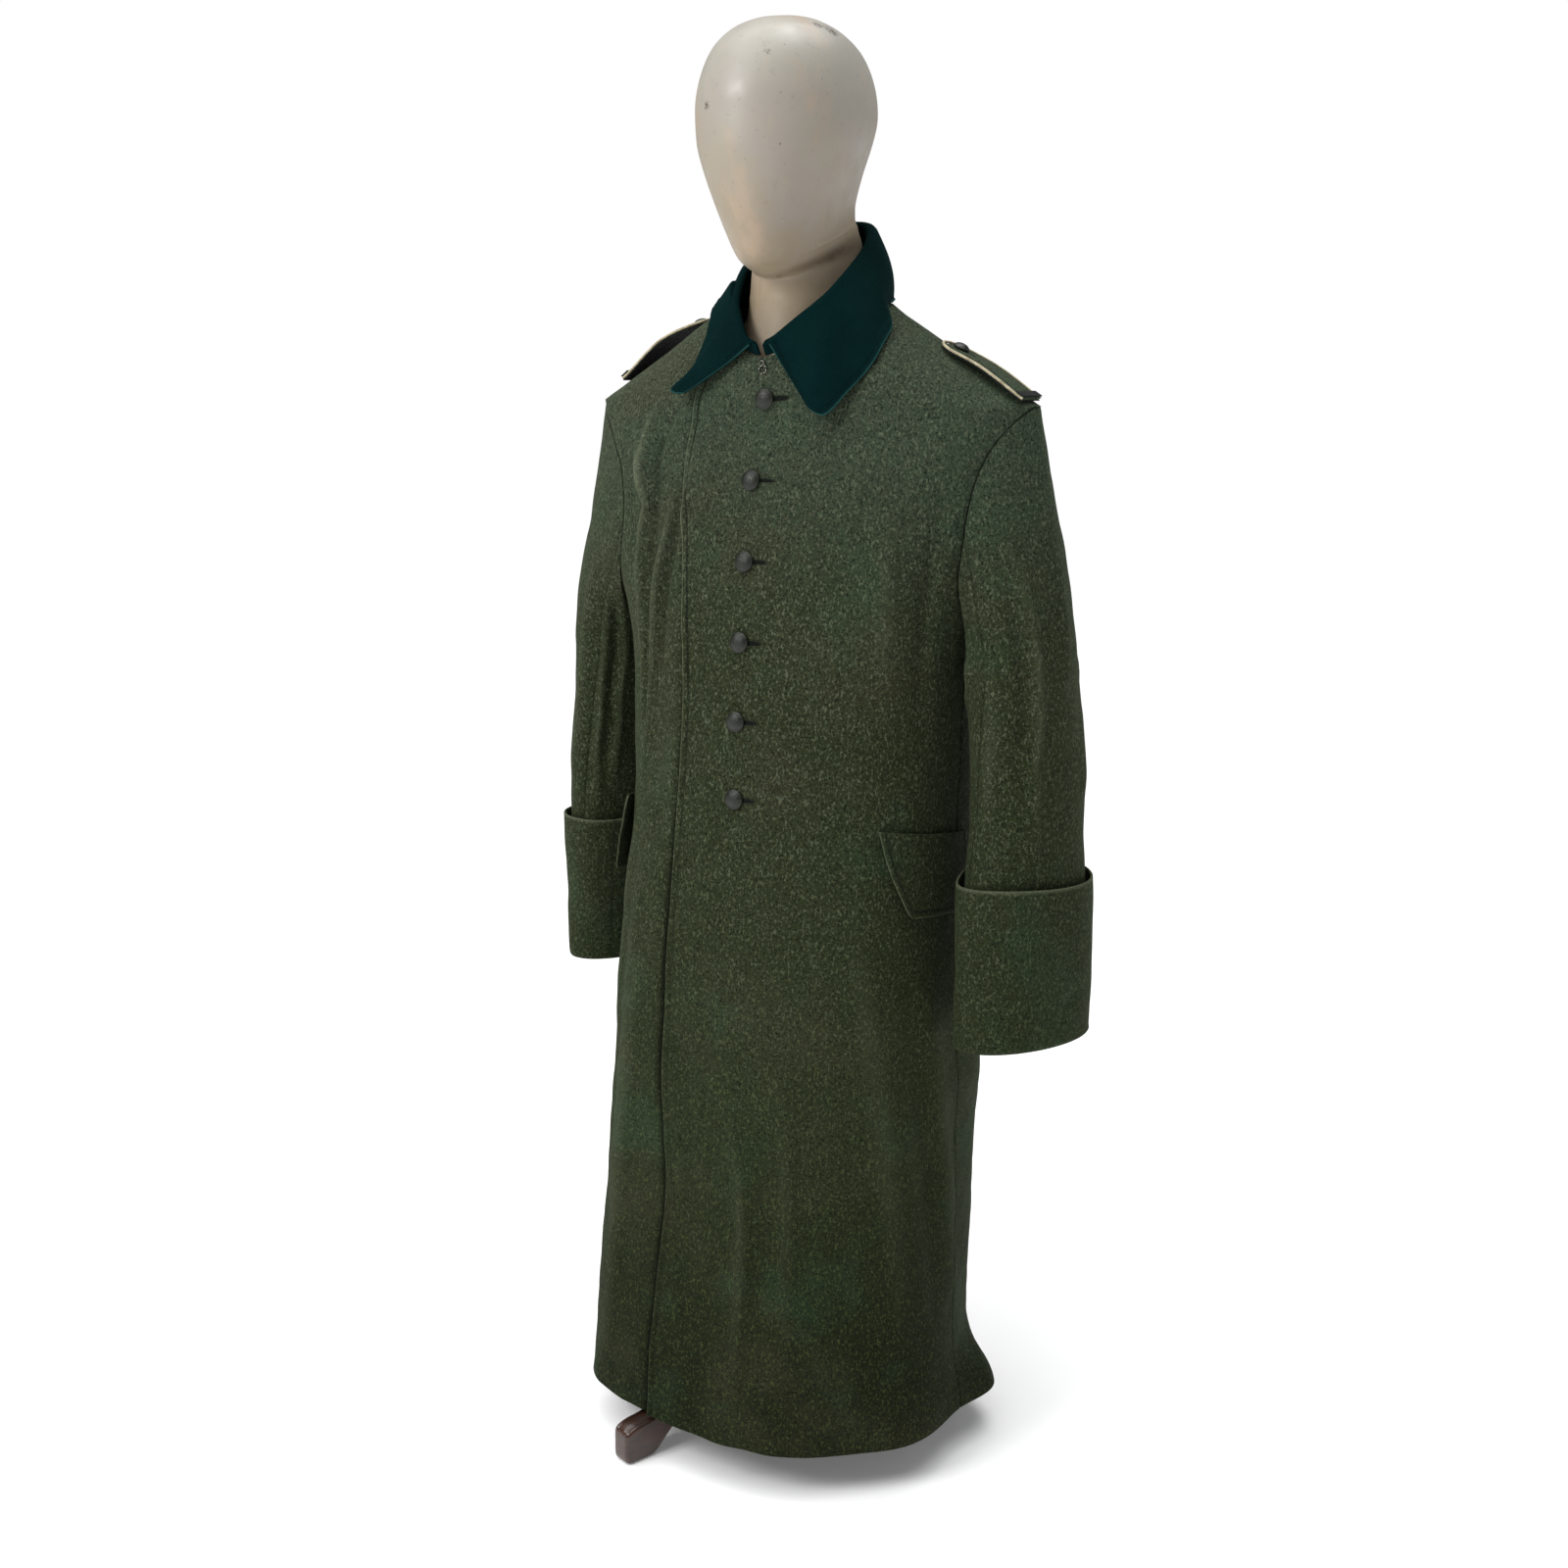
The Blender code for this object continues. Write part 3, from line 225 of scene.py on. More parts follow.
HEAD_COLUMNS = ("z", "half_width", "front_y", "back_y")
HEAD_ROWS = (
    (1.2384, 0.0590, -0.0690, 0.0490),
    (1.2480, 0.0575, -0.0685, 0.0490),
    (1.2580, 0.0560, -0.0700, 0.0490),
    (1.2645, 0.0540, -0.0935, 0.0440),
    (1.2720, 0.0540, -0.1090, 0.0420),
    (1.2870, 0.0560, -0.1220, 0.0390),
    (1.3120, 0.0620, -0.1340, 0.0350),
    (1.3450, 0.0710, -0.1440, 0.0400),
    (1.3850, 0.0810, -0.1510, 0.0540),
    (1.4180, 0.0845, -0.1510, 0.0620),
    (1.4480, 0.0805, -0.1450, 0.0570),
    (1.4740, 0.0700, -0.1320, 0.0420),
    (1.4920, 0.0540, -0.1120, 0.0180),
    (1.5030, 0.0350, -0.0870, -0.0080),
    (1.5080, 0.0165, -0.0610, -0.0260),
)

UP = np.array([0.0, 0.0, 1.0])
BACK = np.array([0.0, 1.0, 0.0])
LEVEL = np.array([1.0, 1.0, 0.0])
HANDS = (("left", 1), ("right", -1))
SLEEVES = (("left", 1, SLEEVE_LEFT), ("right", -1, SLEEVE_RIGHT))

# The coat's own middle line, from the origin under the whole.
MIDDLE = np.array([-0.0004, 0.0164, 0.0])
SLEEVE_TOP_Z = 0.860
SLEEVE_END_Z = CUFF_BOTTOM + CUFF_CLOTH + SEAM_GAP
SLEEVE_SEAMS = {"left": (102.1, 229.5), "right": (103.3, 241.0)}

# ---- What the looks add ----
EDGE_STEPS = np.array([0.0, 0.0006, 0.0014, 0.0025, 0.0038, 0.0050, 0.0058, 0.0063, 0.0068, 0.0078, 0.0098])
STITCH_IN = 0.0063
ON_CLOTH = 0.0001
ON_HOLE = 0.0003
SLIT_START = 0.004
SLIT_END = 0.0235
EDGE_REACH = 0.0130
UNDER_COLUMNS = 27
LAP_PUFF_WIDTH = 0.0045
LAP_DIP_WIDTH = 0.0075
COLLAR_TUCK = 0.0045
CUFF_SEAM = 141.0
SHARP_ANGLE = 52.0
GROOVE = 0.00050
GROOVE_WIDTH = 0.0010
SEAM_ROLL = 0.0009
SEAM_ROLL_WIDTH = 0.0020
# Crease height for the full tint: ridges paler as wear and painted highlight, troughs darker as painted shade.
CREASE_TINT = 0.0100
LAP_PUFF = 0.0016
LAP_DIP = 0.0034
FLAP_STAND = 0.0030
FLAP_DROP = 0.020

# Creases of the coat's body: width, height, then the angle and level of points along each.
BODY_CREASES = (
    (0.0062, 0.0080, ((-54.5, 1.165), (-59.0, 1.130), (-59.5, 1.090), (-56.5, 1.050), (-54.0, 1.032), (-54.0, 0.995))),
    (0.0058, -0.0065, ((-49.0, 1.150), (-53.0, 1.120), (-54.0, 1.085), (-51.5, 1.050), (-49.5, 1.010), (-49.0, 0.960))),
    (0.0060, 0.0070, ((-54.5, 1.030), (-54.5, 0.990), (-54.0, 0.950), (-52.5, 0.910), (-51.0, 0.853), (-48.0, 0.740))),
    (0.0052, 0.0075, ((-42.0, 1.060), (-43.5, 1.010), (-44.8, 0.962), (-44.5, 0.912), (-45.5, 0.853), (-47.0, 0.760))),
    (0.0050, -0.0055, ((-38.5, 1.050), (-39.5, 1.000), (-40.8, 0.950), (-40.5, 0.900), (-41.5, 0.830))),
    (0.0055, -0.0045, ((-49.5, 1.000), (-49.5, 0.950), (-48.8, 0.900), (-48.5, 0.840), (-48.5, 0.780))),
    (0.0052, 0.0045, ((-35.0, 1.120), (-35.0, 1.070), (-35.5, 1.010), (-35.0, 0.950))),
    (0.0045, 0.0040, ((-65.5, 1.134), (-62.5, 1.100), (-59.0, 1.065), (-57.0, 1.045))),
    (0.0100, -0.0045, ((70.0, 1.060), (68.0, 1.010), (67.0, 0.950), (68.0, 0.880), (70.0, 0.800))),
    (0.0140, 0.0040, ((58.0, 1.050), (56.0, 0.980), (56.5, 0.900), (59.0, 0.820))),
    (0.0100, 0.0045, ((3.0, 0.430), (9.5, 0.348), (12.0, 0.275), (11.5, 0.188), (11.0, 0.080))),
    (0.0110, -0.0032, ((14.0, 0.420), (18.0, 0.330), (19.0, 0.240), (18.5, 0.120))),
    (0.0110, 0.0036, ((24.5, 0.470), (25.5, 0.400), (26.5, 0.304), (26.5, 0.206), (26.0, 0.100))),
    (0.0160, 0.0045, ((-38.0, 0.580), (-38.5, 0.526), (-41.0, 0.359), (-41.5, 0.185), (-42.0, 0.080))),
    (0.0120, -0.0040, ((-46.0, 0.720), (-46.0, 0.600), (-48.5, 0.430), (-49.0, 0.250))),
    (0.0200, 0.0040, ((47.0, 0.600), (49.5, 0.560), (55.5, 0.406), (60.5, 0.246), (63.0, 0.120))),
    (0.0170, -0.0048, ((64.0, 0.600), (69.0, 0.440), (74.0, 0.300), (77.0, 0.160))),
    (0.0170, 0.0042, ((74.0, 0.560), (77.0, 0.480), (83.5, 0.326), (90.0, 0.180))),
    (0.0140, -0.0030, ((-20.0, 0.520), (-14.0, 0.420), (-9.0, 0.300), (-7.0, 0.160))),
    (0.0200, 0.0060, ((132.0, 1.060), (138.0, 0.980), (142.0, 0.880), (143.0, 0.780))),
    (0.0170, -0.0050, ((142.0, 1.070), (147.0, 0.990), (151.0, 0.900), (152.0, 0.800))),
    (0.0200, 0.0055, ((-130.0, 1.050), (-137.0, 0.970), (-140.0, 0.870), (-141.0, 0.760))),
    (0.0160, -0.0045, ((-141.0, 1.060), (-147.0, 0.980), (-150.0, 0.890), (-151.0, 0.790))),
    (0.0220, 0.0060, ((158.0, 0.620), (159.0, 0.500), (160.0, 0.350), (161.0, 0.150))),
    (0.0180, 0.0050, ((-154.0, 0.600), (-154.0, 0.470), (-156.0, 0.320), (-157.0, 0.140))),
    (0.0200, -0.0045, ((-132.0, 0.600), (-131.0, 0.480), (-130.0, 0.300), (-129.0, 0.140))),
    (0.0180, 0.0045, ((-104.0, 0.560), (-106.0, 0.430), (-107.0, 0.280), (-108.0, 0.140))),
)

# Creases of the sleeves: width, height, then the angle round the sleeve and the height of points along each.
SLEEVE_CREASES = {
    "left": (
        (0.0065, 0.0052, ((46.0, 1.010), (44.0, 0.955), (42.0, 0.870), (38.0, 0.800), (32.0, 0.735), (26.0, 0.672))),
        (0.0080, -0.0042, ((60.0, 0.990), (58.0, 0.930), (56.0, 0.860), (52.0, 0.790), (45.0, 0.720))),
        (0.0090, 0.0029, ((12.0, 1.060), (8.0, 1.000), (6.0, 0.930), (4.0, 0.860))),
        (0.0110, 0.0039, ((92.0, 0.900), (90.0, 0.840), (86.0, 0.770), (80.0, 0.690))),
        (0.0100, -0.0046, ((120.0, 0.930), (124.0, 0.890), (128.0, 0.850))),
        (0.0090, 0.0052, ((130.0, 0.915), (136.0, 0.875), (142.0, 0.835))),
        (0.0120, 0.0046, ((250.0, 0.930), (255.0, 0.860), (262.0, 0.790))),
        (0.0110, -0.0046, ((285.0, 0.960), (290.0, 0.880), (300.0, 0.800))),
        (0.0120, 0.0039, ((312.0, 0.900), (318.0, 0.830), (326.0, 0.740))),
    ),
    "right": (
        (0.0060, 0.0049, ((110.0, 0.930), (111.0, 0.880), (113.0, 0.800), (117.0, 0.720), (120.0, 0.670))),
        (0.0060, -0.0039, ((121.0, 0.930), (122.0, 0.870), (124.0, 0.800), (127.0, 0.720))),
        (0.0060, 0.0047, ((131.0, 0.930), (133.0, 0.860), (135.0, 0.780), (136.0, 0.690))),
        (0.0100, 0.0039, ((80.0, 0.960), (78.0, 0.880), (80.0, 0.790), (84.0, 0.700))),
        (0.0110, -0.0039, ((62.0, 0.980), (58.0, 0.900), (56.0, 0.800))),
        (0.0120, 0.0046, ((30.0, 1.000), (26.0, 0.900), (24.0, 0.790))),
        (0.0110, 0.0046, ((248.0, 0.930), (252.0, 0.860), (260.0, 0.780))),
        (0.0110, -0.0042, ((280.0, 0.940), (286.0, 0.860), (296.0, 0.780))),
        (0.0120, 0.0039, ((318.0, 0.900), (322.0, 0.810), (328.0, 0.720))),
    ),
}
CUFF_CREASES = {
    "left": (
        (0.0060, -0.0040, ((-30.0, 0.545), (-20.0, 0.535), (-8.0, 0.528))),
        (0.0160, 0.0016, ((100.0, 0.640), (96.0, 0.590), (98.0, 0.530))),
        (0.0160, -0.0016, ((40.0, 0.645), (44.0, 0.590), (42.0, 0.520))),
        (0.0140, 0.0018, ((220.0, 0.640), (226.0, 0.580), (222.0, 0.520))),
    ),
    "right": (
        (0.0140, 0.0016, ((120.0, 0.640), (116.0, 0.590), (118.0, 0.530))),
        (0.0140, -0.0018, ((90.0, 0.645), (88.0, 0.590), (90.0, 0.520))),
        (0.0150, 0.0018, ((30.0, 0.640), (34.0, 0.580), (30.0, 0.520))),
        (0.0140, 0.0018, ((250.0, 0.640), (246.0, 0.580), (252.0, 0.520))),
    ),
}
# The cloth's slight unevenness: height, then waves along the three axes and where they start.
UNEVEN = (
    (0.00050, (46.0, 31.0, 37.0), 0.7),
    (0.00038, (-83.0, 71.0, 52.0), 2.1),
    (0.00022, (121.0, -97.0, 143.0), 4.0),
)


# ---- The coat's form: functions as in the CAD ----
def through(xs, ys, x):
    """The smooth curve through the points (xs, ys), with no overshoot between them."""
    xs = np.asarray(xs, float)
    ys = np.asarray(ys, float)
    step = np.diff(xs)
    slope = np.diff(ys) / step
    tangent = np.concatenate([[slope[0]], (slope[:-1] + slope[1:]) / 2, [slope[-1]]])
    least = np.minimum(np.abs(slope[:-1]), np.abs(slope[1:]))
    inner = np.clip(tangent[1:-1], -3 * least, 3 * least)
    tangent[1:-1] = np.where(slope[:-1] * slope[1:] > 0, inner, 0.0)
    x = np.asarray(x, float)
    i = np.clip(np.searchsorted(xs, x, side="right") - 1, 0, len(step) - 1)
    t = (x - xs[i]) / step[i]
    rise = ys[i] * (2 * t**3 - 3 * t**2 + 1) + ys[i + 1] * (3 * t**2 - 2 * t**3)
    lean = tangent[i] * (t**3 - 2 * t**2 + t) + tangent[i + 1] * (t**3 - t**2)
    return rise + step[i] * lean


def column(rows, columns, name):
    return [row[columns.index(name)] for row in rows]


def looked_up(rows, columns, name, at):
    """A column of a table, smoothly between its rows, at this value of the first column."""
    return through(column(rows, columns, columns[0]), column(rows, columns, name), at)


def body_value(name, level):
    return looked_up(BODY_ROWS, BODY_COLUMNS, name, level)


def sharp_half_width(level):
    """The half width, with a corner at the shoulder point between the side and the shoulder's top."""
    low = [row for row in BODY_ROWS if row[0] <= SHOULDER]
    high = [row for row in BODY_ROWS if row[0] >= SHOULDER]
    below, above = (looked_up(rows, BODY_COLUMNS, "half_width", level) for rows in (low, high))
    return np.where(level < SHOULDER, below, above)


def half_width(level, turn=math.pi / 2):
    """The half width: cornered at the shoulder point, and rounded over the chest and the back."""
    level = np.asarray(level, float)
    sharp = sharp_half_width(level)
    shares = ((-1.0, 0.07), (-0.7, 0.12), (-0.35, 0.19), (0.0, 0.24), (0.35, 0.19), (0.7, 0.12), (1.0, 0.07))
    soft = sum(share * sharp_half_width(np.clip(level + 0.034 * step, HEM_Z, NECKLINE)) for step, share in shares)
    from_side = np.abs(np.abs(np.degrees(turn)) - 90.0)
    return sharp + (soft - sharp) * ease((from_side - 3.0) / 20.0) * ease((level - 1.06) / 0.03)


def ease(value):
    value = np.clip(value, 0.0, 1.0)
    return value * value * (3.0 - 2.0 * value)


def bell(away, width):
    """One in the middle, falling off to nothing on both sides."""
    return np.exp(-((away / width) ** 2))


def folds(turn, z):
    """How far the soft folds lift the cloth here, at this angle and height."""
    total = np.zeros(np.broadcast(turn, z).shape)
    for turn_hem, turn_top, width, height_hem, height_top, top_z, fade in FOLD_ROWS:
        rise = np.clip((z - HEM_Z) / (top_z - HEM_Z), 0.0, 1.0)
        centre = turn_hem + (turn_top - turn_hem) * rise
        away = (np.degrees(turn) - centre + 180.0) % 360.0 - 180.0
        height = height_hem + (height_top - height_hem) * rise
        total = total + height * bell(away, width) * ease((top_z + fade / 2 - z) / fade)
    return total


def body_point(turn, level):
    """The coat's outer surface. The angle is 0 in front and grows towards the wearer's left."""
    turn, level = np.broadcast_arrays(np.asarray(turn, float), np.asarray(level, float))
    wide = half_width(level, turn)
    square = body_value("square", level)
    across = np.sin(turn)
    ahead = np.cos(turn)
    depth = np.where(ahead > 0, body_value("front", level), body_value("back", level))
    radius = ((np.abs(across) / wide) ** square + (np.abs(ahead) / depth) ** square) ** (-1 / square)
    reach = np.abs(radius * across) / wide
    end_z = np.where(ahead > 0, body_value("front_z", level), body_value("back_z", level))
    z = end_z + (level - end_z) * reach**1.5
    radius = radius + folds(turn, z)
    return np.stack([radius * across, body_value("centre_y", level) - radius * ahead, z], -1)


def unit(vectors):
    return vectors / np.maximum(np.linalg.norm(vectors, axis=-1, keepdims=True), 1e-12)


def body_normal(turn, level):
    step = 1e-4
    along = body_point(turn + step, level) - body_point(turn - step, level)
    low = np.where(np.abs(level - SHOULDER) < step, level, level - step)
    up = body_point(turn, level + step) - body_point(turn, low)
    return unit(np.cross(along, up))


def turn_at_x(level, x):
    turns = np.radians(np.linspace(-75.0, 75.0, 151))
    return float(np.interp(x, body_point(turns, level)[:, 0], turns))


def seam_turn(level, turn, side):
    """The angle of a seam, less half the gap that its two pieces keep."""
    radius = float(np.linalg.norm(body_point(turn, level)[:2]))
    return turn - side * SEAM_GAP / 2 / radius


def left_edge_turn(level):
    return turn_at_x(level, float(looked_up(EDGE_ROWS, EDGE_COLUMNS, "over_x", level)))


def sleeve_section(rows, z, angles):
    centre_x, centre_y, half_x, half_y, twist = (
        float(looked_up(rows, SLEEVE_COLUMNS, name, z)) for name in SLEEVE_COLUMNS[1:]
    )
    out = half_x * np.cos(angles)
    back = -half_y * np.sin(angles)
    turn = math.radians(twist)
    x = centre_x + out * math.cos(turn) - back * math.sin(turn)
    y = centre_y + out * math.sin(turn) + back * math.cos(turn)
    return np.stack([x, y, np.full(len(angles), z)], -1)


def tube_normal(grid):
    """Outward normals of a tube given as a stack of rings from the armhole down."""
    around = np.roll(grid, -1, 1) - np.roll(grid, 1, 1)
    down = np.gradient(grid, axis=0)
    normal = unit(np.cross(around, down))
    outward = grid - grid.mean(1, keepdims=True)
    if np.sum(normal[-1] * outward[-1]) < 0:
        normal = -normal
    return normal


def mirrored(points, side):
    return points * np.array([side, 1.0, 1.0])


def collar_value(rows, name, turn):
    return float(looked_up(rows, COLLAR_COLUMNS, name, turn))


def front_y(z):
    """How far forward the fronts' outer surface lies on the middle line, at this height."""
    spots = body_point(0.0, np.linspace(1.0, NECKLINE, 300))
    return float(np.interp(z, spots[:, 2], spots[:, 1]))


def flap_value(name, level):
    low, high = FLAP_ROWS[1][0], FLAP_ROWS[0][0]
    return float(np.interp(level, [low, high], column(FLAP_ROWS[::-1], FLAP_COLUMNS, name)))


def clear_of_body(points, clearance):
    """Moves each point out to at least this clearance above the coat's shoulders and chest."""
    turns, levels = np.meshgrid(np.radians(np.arange(-180.0, 180.0, 2.0)), np.linspace(1.02, NECKLINE, 90))
    surface = body_point(turns, levels).reshape(-1, 3)
    normal = body_normal(turns, levels).reshape(-1, 3)
    moved = []
    for point in points:
        nearest = np.argmin(np.linalg.norm(surface - point, axis=1))
        height = float(np.dot(point - surface[nearest], normal[nearest]))
        moved.append(point + normal[nearest] * max(0.0, clearance - height))
    return np.array(moved)


# ---- Meshes ----
def outward(points, faces):
    """Turns the faces of a closed body outwards, by the sign of its volume."""
    volume = 0.0
    for i in range(1, faces.shape[1] - 1):
        a, b, c = points[faces[:, 0]], points[faces[:, i]], points[faces[:, i + 1]]
        volume += float(np.einsum("ij,ij->i", a, np.cross(b, c)).sum())
    return faces[:, ::-1] if volume < 0 else faces


def placed(name, data):
    """A new object in the scene that shows this data."""
    made = bpy.data.objects.new(name, data)
    bpy.context.scene.collection.objects.link(made)
    return made


def new_piece(name, points, faces, finish, wear_and_shade=None):
    """A piece in its place: its points are in the coat's own frame, and MIDDLE brings them to the model's.

    Wear_and_shade is over 0 where an edge is scuffed pale or a crease ridge carries a painted highlight, and under 0
    where shade is painted: in a seam, a row of stitches, a trough, beside and under the lap, and under the jaw."""
    points = np.asarray(points, float) + MIDDLE
    data = bpy.data.meshes.new(name)
    data.from_pydata(points.tolist(), [], [list(face) for face in faces])
    data.polygons.foreach_set("use_smooth", [True] * len(data.polygons))
    data.materials.append(finish)
    if wear_and_shade is not None:
        layer = data.attributes.new("wear_and_shade", "FLOAT", "POINT")
        layer.data.foreach_set("value", np.asarray(wear_and_shade, np.float32).reshape(-1))
    data.update()
    data.set_sharp_from_angle(angle=math.radians(SHARP_ANGLE))
    return placed(name, data)


def quads(rows, cols, start=0, round_tube=False, turned_over=False):
    across = cols if round_tube else cols - 1
    r, c = np.meshgrid(np.arange(rows - 1), np.arange(across), indexing="ij")
    a = r * cols + c
    b = r * cols + (c + 1) % cols
    faces = np.stack([a, b, b + cols, a + cols], -1).reshape(-1, 4) + start
    return faces[:, ::-1] if turned_over else faces


def fan(ring, middle, turned_over=False):
    """Triangles from a ring's neighbouring points to one middle point."""
    pairs = zip(ring, np.roll(ring, -1))
    return [(middle, b, a) if turned_over else (middle, a, b) for a, b in pairs]


def cloth_wall(name, outer, inner, finish, wear_and_shade=None):
    """A cut piece of cloth: its outer and inner faces, closed round its four edges."""
    rows, cols = outer.shape[:2]
    half = rows * cols
    points = np.concatenate([outer.reshape(-1, 3), inner.reshape(-1, 3)])
    bottom = np.arange(cols)
    top = (rows - 1) * cols + np.arange(cols)
    left = np.arange(rows) * cols
    right = left + cols - 1
    rim = np.concatenate([bottom, right[1:], top[::-1][1:], left[::-1][1:-1]])
    after = np.roll(rim, -1)
    edge = np.stack([after, rim, rim + half, after + half], -1)
    faces = np.concatenate([quads(rows, cols), quads(rows, cols, half, turned_over=True), edge])
    if wear_and_shade is not None:
        wear_and_shade = np.concatenate([np.asarray(wear_and_shade).reshape(-1), np.zeros(half)])
    return new_piece(name, points, outward(points, faces), finish, wear_and_shade=wear_and_shade)


def round_ring(name, loops, finish, wear_and_shade=None):
    """A closed ring swept round: each loop is one corner of its section."""
    rows, cols = loops.shape[:2]
    points = loops.reshape(-1, 3)
    faces = quads(rows, cols, round_tube=True)
    last = (rows - 1) * cols + np.arange(cols)
    first = np.arange(cols)
    close = np.stack([last, np.roll(last, -1), np.roll(first, -1), first], -1)
    return new_piece(name, points, outward(points, np.concatenate([faces, close])), finish, wear_and_shade=wear_and_shade)


def thread(name, line, radius, finish, sides=10):
    """A round wire, cord or piping along a line, with capped ends."""
    line = np.asarray(line, float)
    along = unit(np.gradient(line, axis=0))
    aside = UP if abs(along[0][2]) < 0.9 else BACK
    a = np.linspace(0.0, 2 * math.pi, sides, endpoint=False)[:, None]
    rings = []
    for spot, way in zip(line, along):
        aside = unit(aside - way * np.dot(aside, way))
        rings.append(spot + radius * (np.cos(a) * aside + np.sin(a) * np.cross(way, aside)))
    points = np.array(rings).reshape(-1, 3)
    count = len(points)
    faces = list(outward(points, quads(len(line), sides, round_tube=True)))
    first = np.arange(sides)
    faces += fan(first, count, turned_over=True) + fan(first + count - sides, count + 1)
    return new_piece(name, np.concatenate([points, line[[0, -1]]]), faces, finish)


def lathe(name, profile, place, axis, finish, steps=40):
    """A round piece from radii and heights, top middle first, bottom middle last."""
    turn = Vector(axis).to_track_quat("Z", "Y").to_matrix()
    points = []
    for radius, height in profile[1:-1]:
        for a in np.linspace(0.0, 2 * math.pi, steps, endpoint=False):
            points.append((radius * math.cos(a), radius * math.sin(a), height))
    count = len(points)
    points += [(0.0, 0.0, profile[0][1]), (0.0, 0.0, profile[-1][1])]
    points = np.array(points) @ np.array(turn).T + np.asarray(place)
    faces = list(outward(points, quads(count // steps, steps, round_tube=True)))
    first = np.arange(steps)
    faces += fan(first, count) + fan(first + count - steps, count + 1, turned_over=True)
    return new_piece(name, points, faces, finish)


def finish_with(piece, node=None, also=()):
    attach(piece, "root")
    if node:
        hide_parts(node, *also)


# ---- The coat's surface, with its creases ----
def soft_line(path, count):
    """A smooth line of points through the rows of a path, with even steps in its own measure."""
    path = np.asarray(path, float)
    marks = np.arange(len(path))
    spots = np.linspace(0.0, len(path) - 1, count)
    return np.stack([through(marks, path[:, i], spots) for i in range(path.shape[1])], -1)


def crease_lift(points, lines):
    """How far the creases lift each point: a soft ridge or trough along each line, fading at its ends."""
    flat = points.reshape(-1, 3)
    total = np.zeros(len(flat))
    for width, height, line in lines:
        near = np.linalg.norm(flat - line.mean(0), axis=1) < np.ptp(line, axis=0).max() + 4 * width
        spots = flat[near]
        best = np.full(len(spots), 1e9)
        place = np.zeros(len(spots))
        for i in range(len(line) - 1):
            way = line[i + 1] - line[i]
            t = np.clip((spots - line[i]) @ way / max(np.dot(way, way), 1e-12), 0.0, 1.0)
            away = np.linalg.norm(spots - line[i] - t[:, None] * way, axis=1)
            closer = away < best
            best = np.where(closer, away, best)
            place = np.where(closer, (i + t) / (len(line) - 1), place)
        fade = np.sin(np.clip(place, 0.0, 1.0) * math.pi) ** 0.6
        total[near] += height * fade * bell(best, width)
    return total.reshape(points.shape[:-1])


def uneven(points):
    total = np.zeros(points.shape[:-1])
    for height, (wx, wy, wz), start in UNEVEN:
        total += height * np.sin(points[..., 0] * wx + points[..., 1] * wy + points[..., 2] * wz + start)
        total += height * 0.6 * np.sin(points[..., 0] * wz - points[..., 2] * wx * 0.7 + start * 2.3)
    return total


def body_lines():
    lines = []
    for width, height, path in BODY_CREASES:
        path = soft_line(path, 20)
        lines.append((width, height, body_point(np.radians(path[:, 0]), path[:, 1])))
    return lines


BODY_LINES = body_lines()


def calm(level):
    """Less unevenness towards the neck, where the collar and the straps lie close."""
    return 1.0 - 0.75 * ease((np.asarray(level) - 1.12) / 0.05)


def coat_surface(turn, level):
    """The coat's outer face with its creases, and the way out from it."""
    turn, level = np.broadcast_arrays(np.asarray(turn, float), np.asarray(level, float))
    base = body_point(turn, level)
    normal = body_normal(turn, level)
    lift = (uneven(base) + crease_lift(base, BODY_LINES)) * calm(level)
    return base + normal * lift[..., None], normal


ARMHOLE_COUNT = 45


def armhole_curve(name):
    """Half an armhole as levels and angles from the armpit to the shoulder, smooth through the CAD's."""
    levels = np.array(column(ARMHOLE_ROWS, ARMHOLE_COLUMNS, "level"))
    middle = (ARMPIT + SHOULDER) / 2
    half = (SHOULDER - ARMPIT) / 2
    rise = np.arccos(np.clip((middle - levels) / half, -1.0, 1.0))
    spots = np.linspace(0.0, math.pi, ARMHOLE_COUNT)
    turns = through(rise, column(ARMHOLE_ROWS, ARMHOLE_COLUMNS, name), spots)
    return middle - half * np.cos(spots), np.radians(turns)


def side_edge(level, name):
    """Where a front or back ends: the side seam, the armhole or the shoulder seam."""
    if ARMPIT + 1e-6 < level < SHOULDER - 1e-6:
        levels, turns = armhole_curve(name)
        return float(np.interp(level, levels, turns))
    return seam_turn(level, math.pi / 2, 1 if name.endswith("front") else -1)


def cloth_levels():
    hem = HEM_Z + np.array([0.0, 0.0006, 0.0014, 0.003, 0.006, 0.010])
    skirt = np.linspace(HEM_Z + 0.017, ARMPIT - 0.007, 118)
    armhole = armhole_curve("left_front")[0]
    yoke = np.linspace(SHOULDER + 0.003, NECKLINE, 26)
    return np.concatenate([hem, skirt, armhole, yoke])


def cloth_turns(level, start, end, count):
    """Angles across a cut piece, close together near its two edges, and how far each lies from them."""
    turns = np.linspace(start, end, 200)
    points = body_point(turns, level)
    along = np.concatenate([[0.0], np.cumsum(np.linalg.norm(np.diff(points, axis=0), axis=1))])
    reach = along[-1]
    marks = np.concatenate([EDGE_STEPS, np.linspace(EDGE_REACH, reach - EDGE_REACH, count), reach - EDGE_STEPS[::-1]])
    return np.interp(marks, along, turns), marks, reach - marks


def near_edge(distance, stitched):
    """How far the cloth sinks near an edge: rolled in at a seam, or grooved along a row of stitches."""
    sink = SEAM_ROLL * bell(distance, SEAM_ROLL_WIDTH)
    if stitched:
        sink = sink * 0.6 + GROOVE * bell(distance - STITCH_IN, GROOVE_WIDTH)
    return sink


def edge_tint(distance, stitched):
    """Pale along a scuffed edge with painted shade in its row of stitches, or painted shade along a seam."""
    seam = bell(distance, 0.0016)
    if not stitched:
        return -0.40 * seam
    return 0.6 * bell(distance, 0.0011) - 0.8 * bell(distance - STITCH_IN, 0.0012)


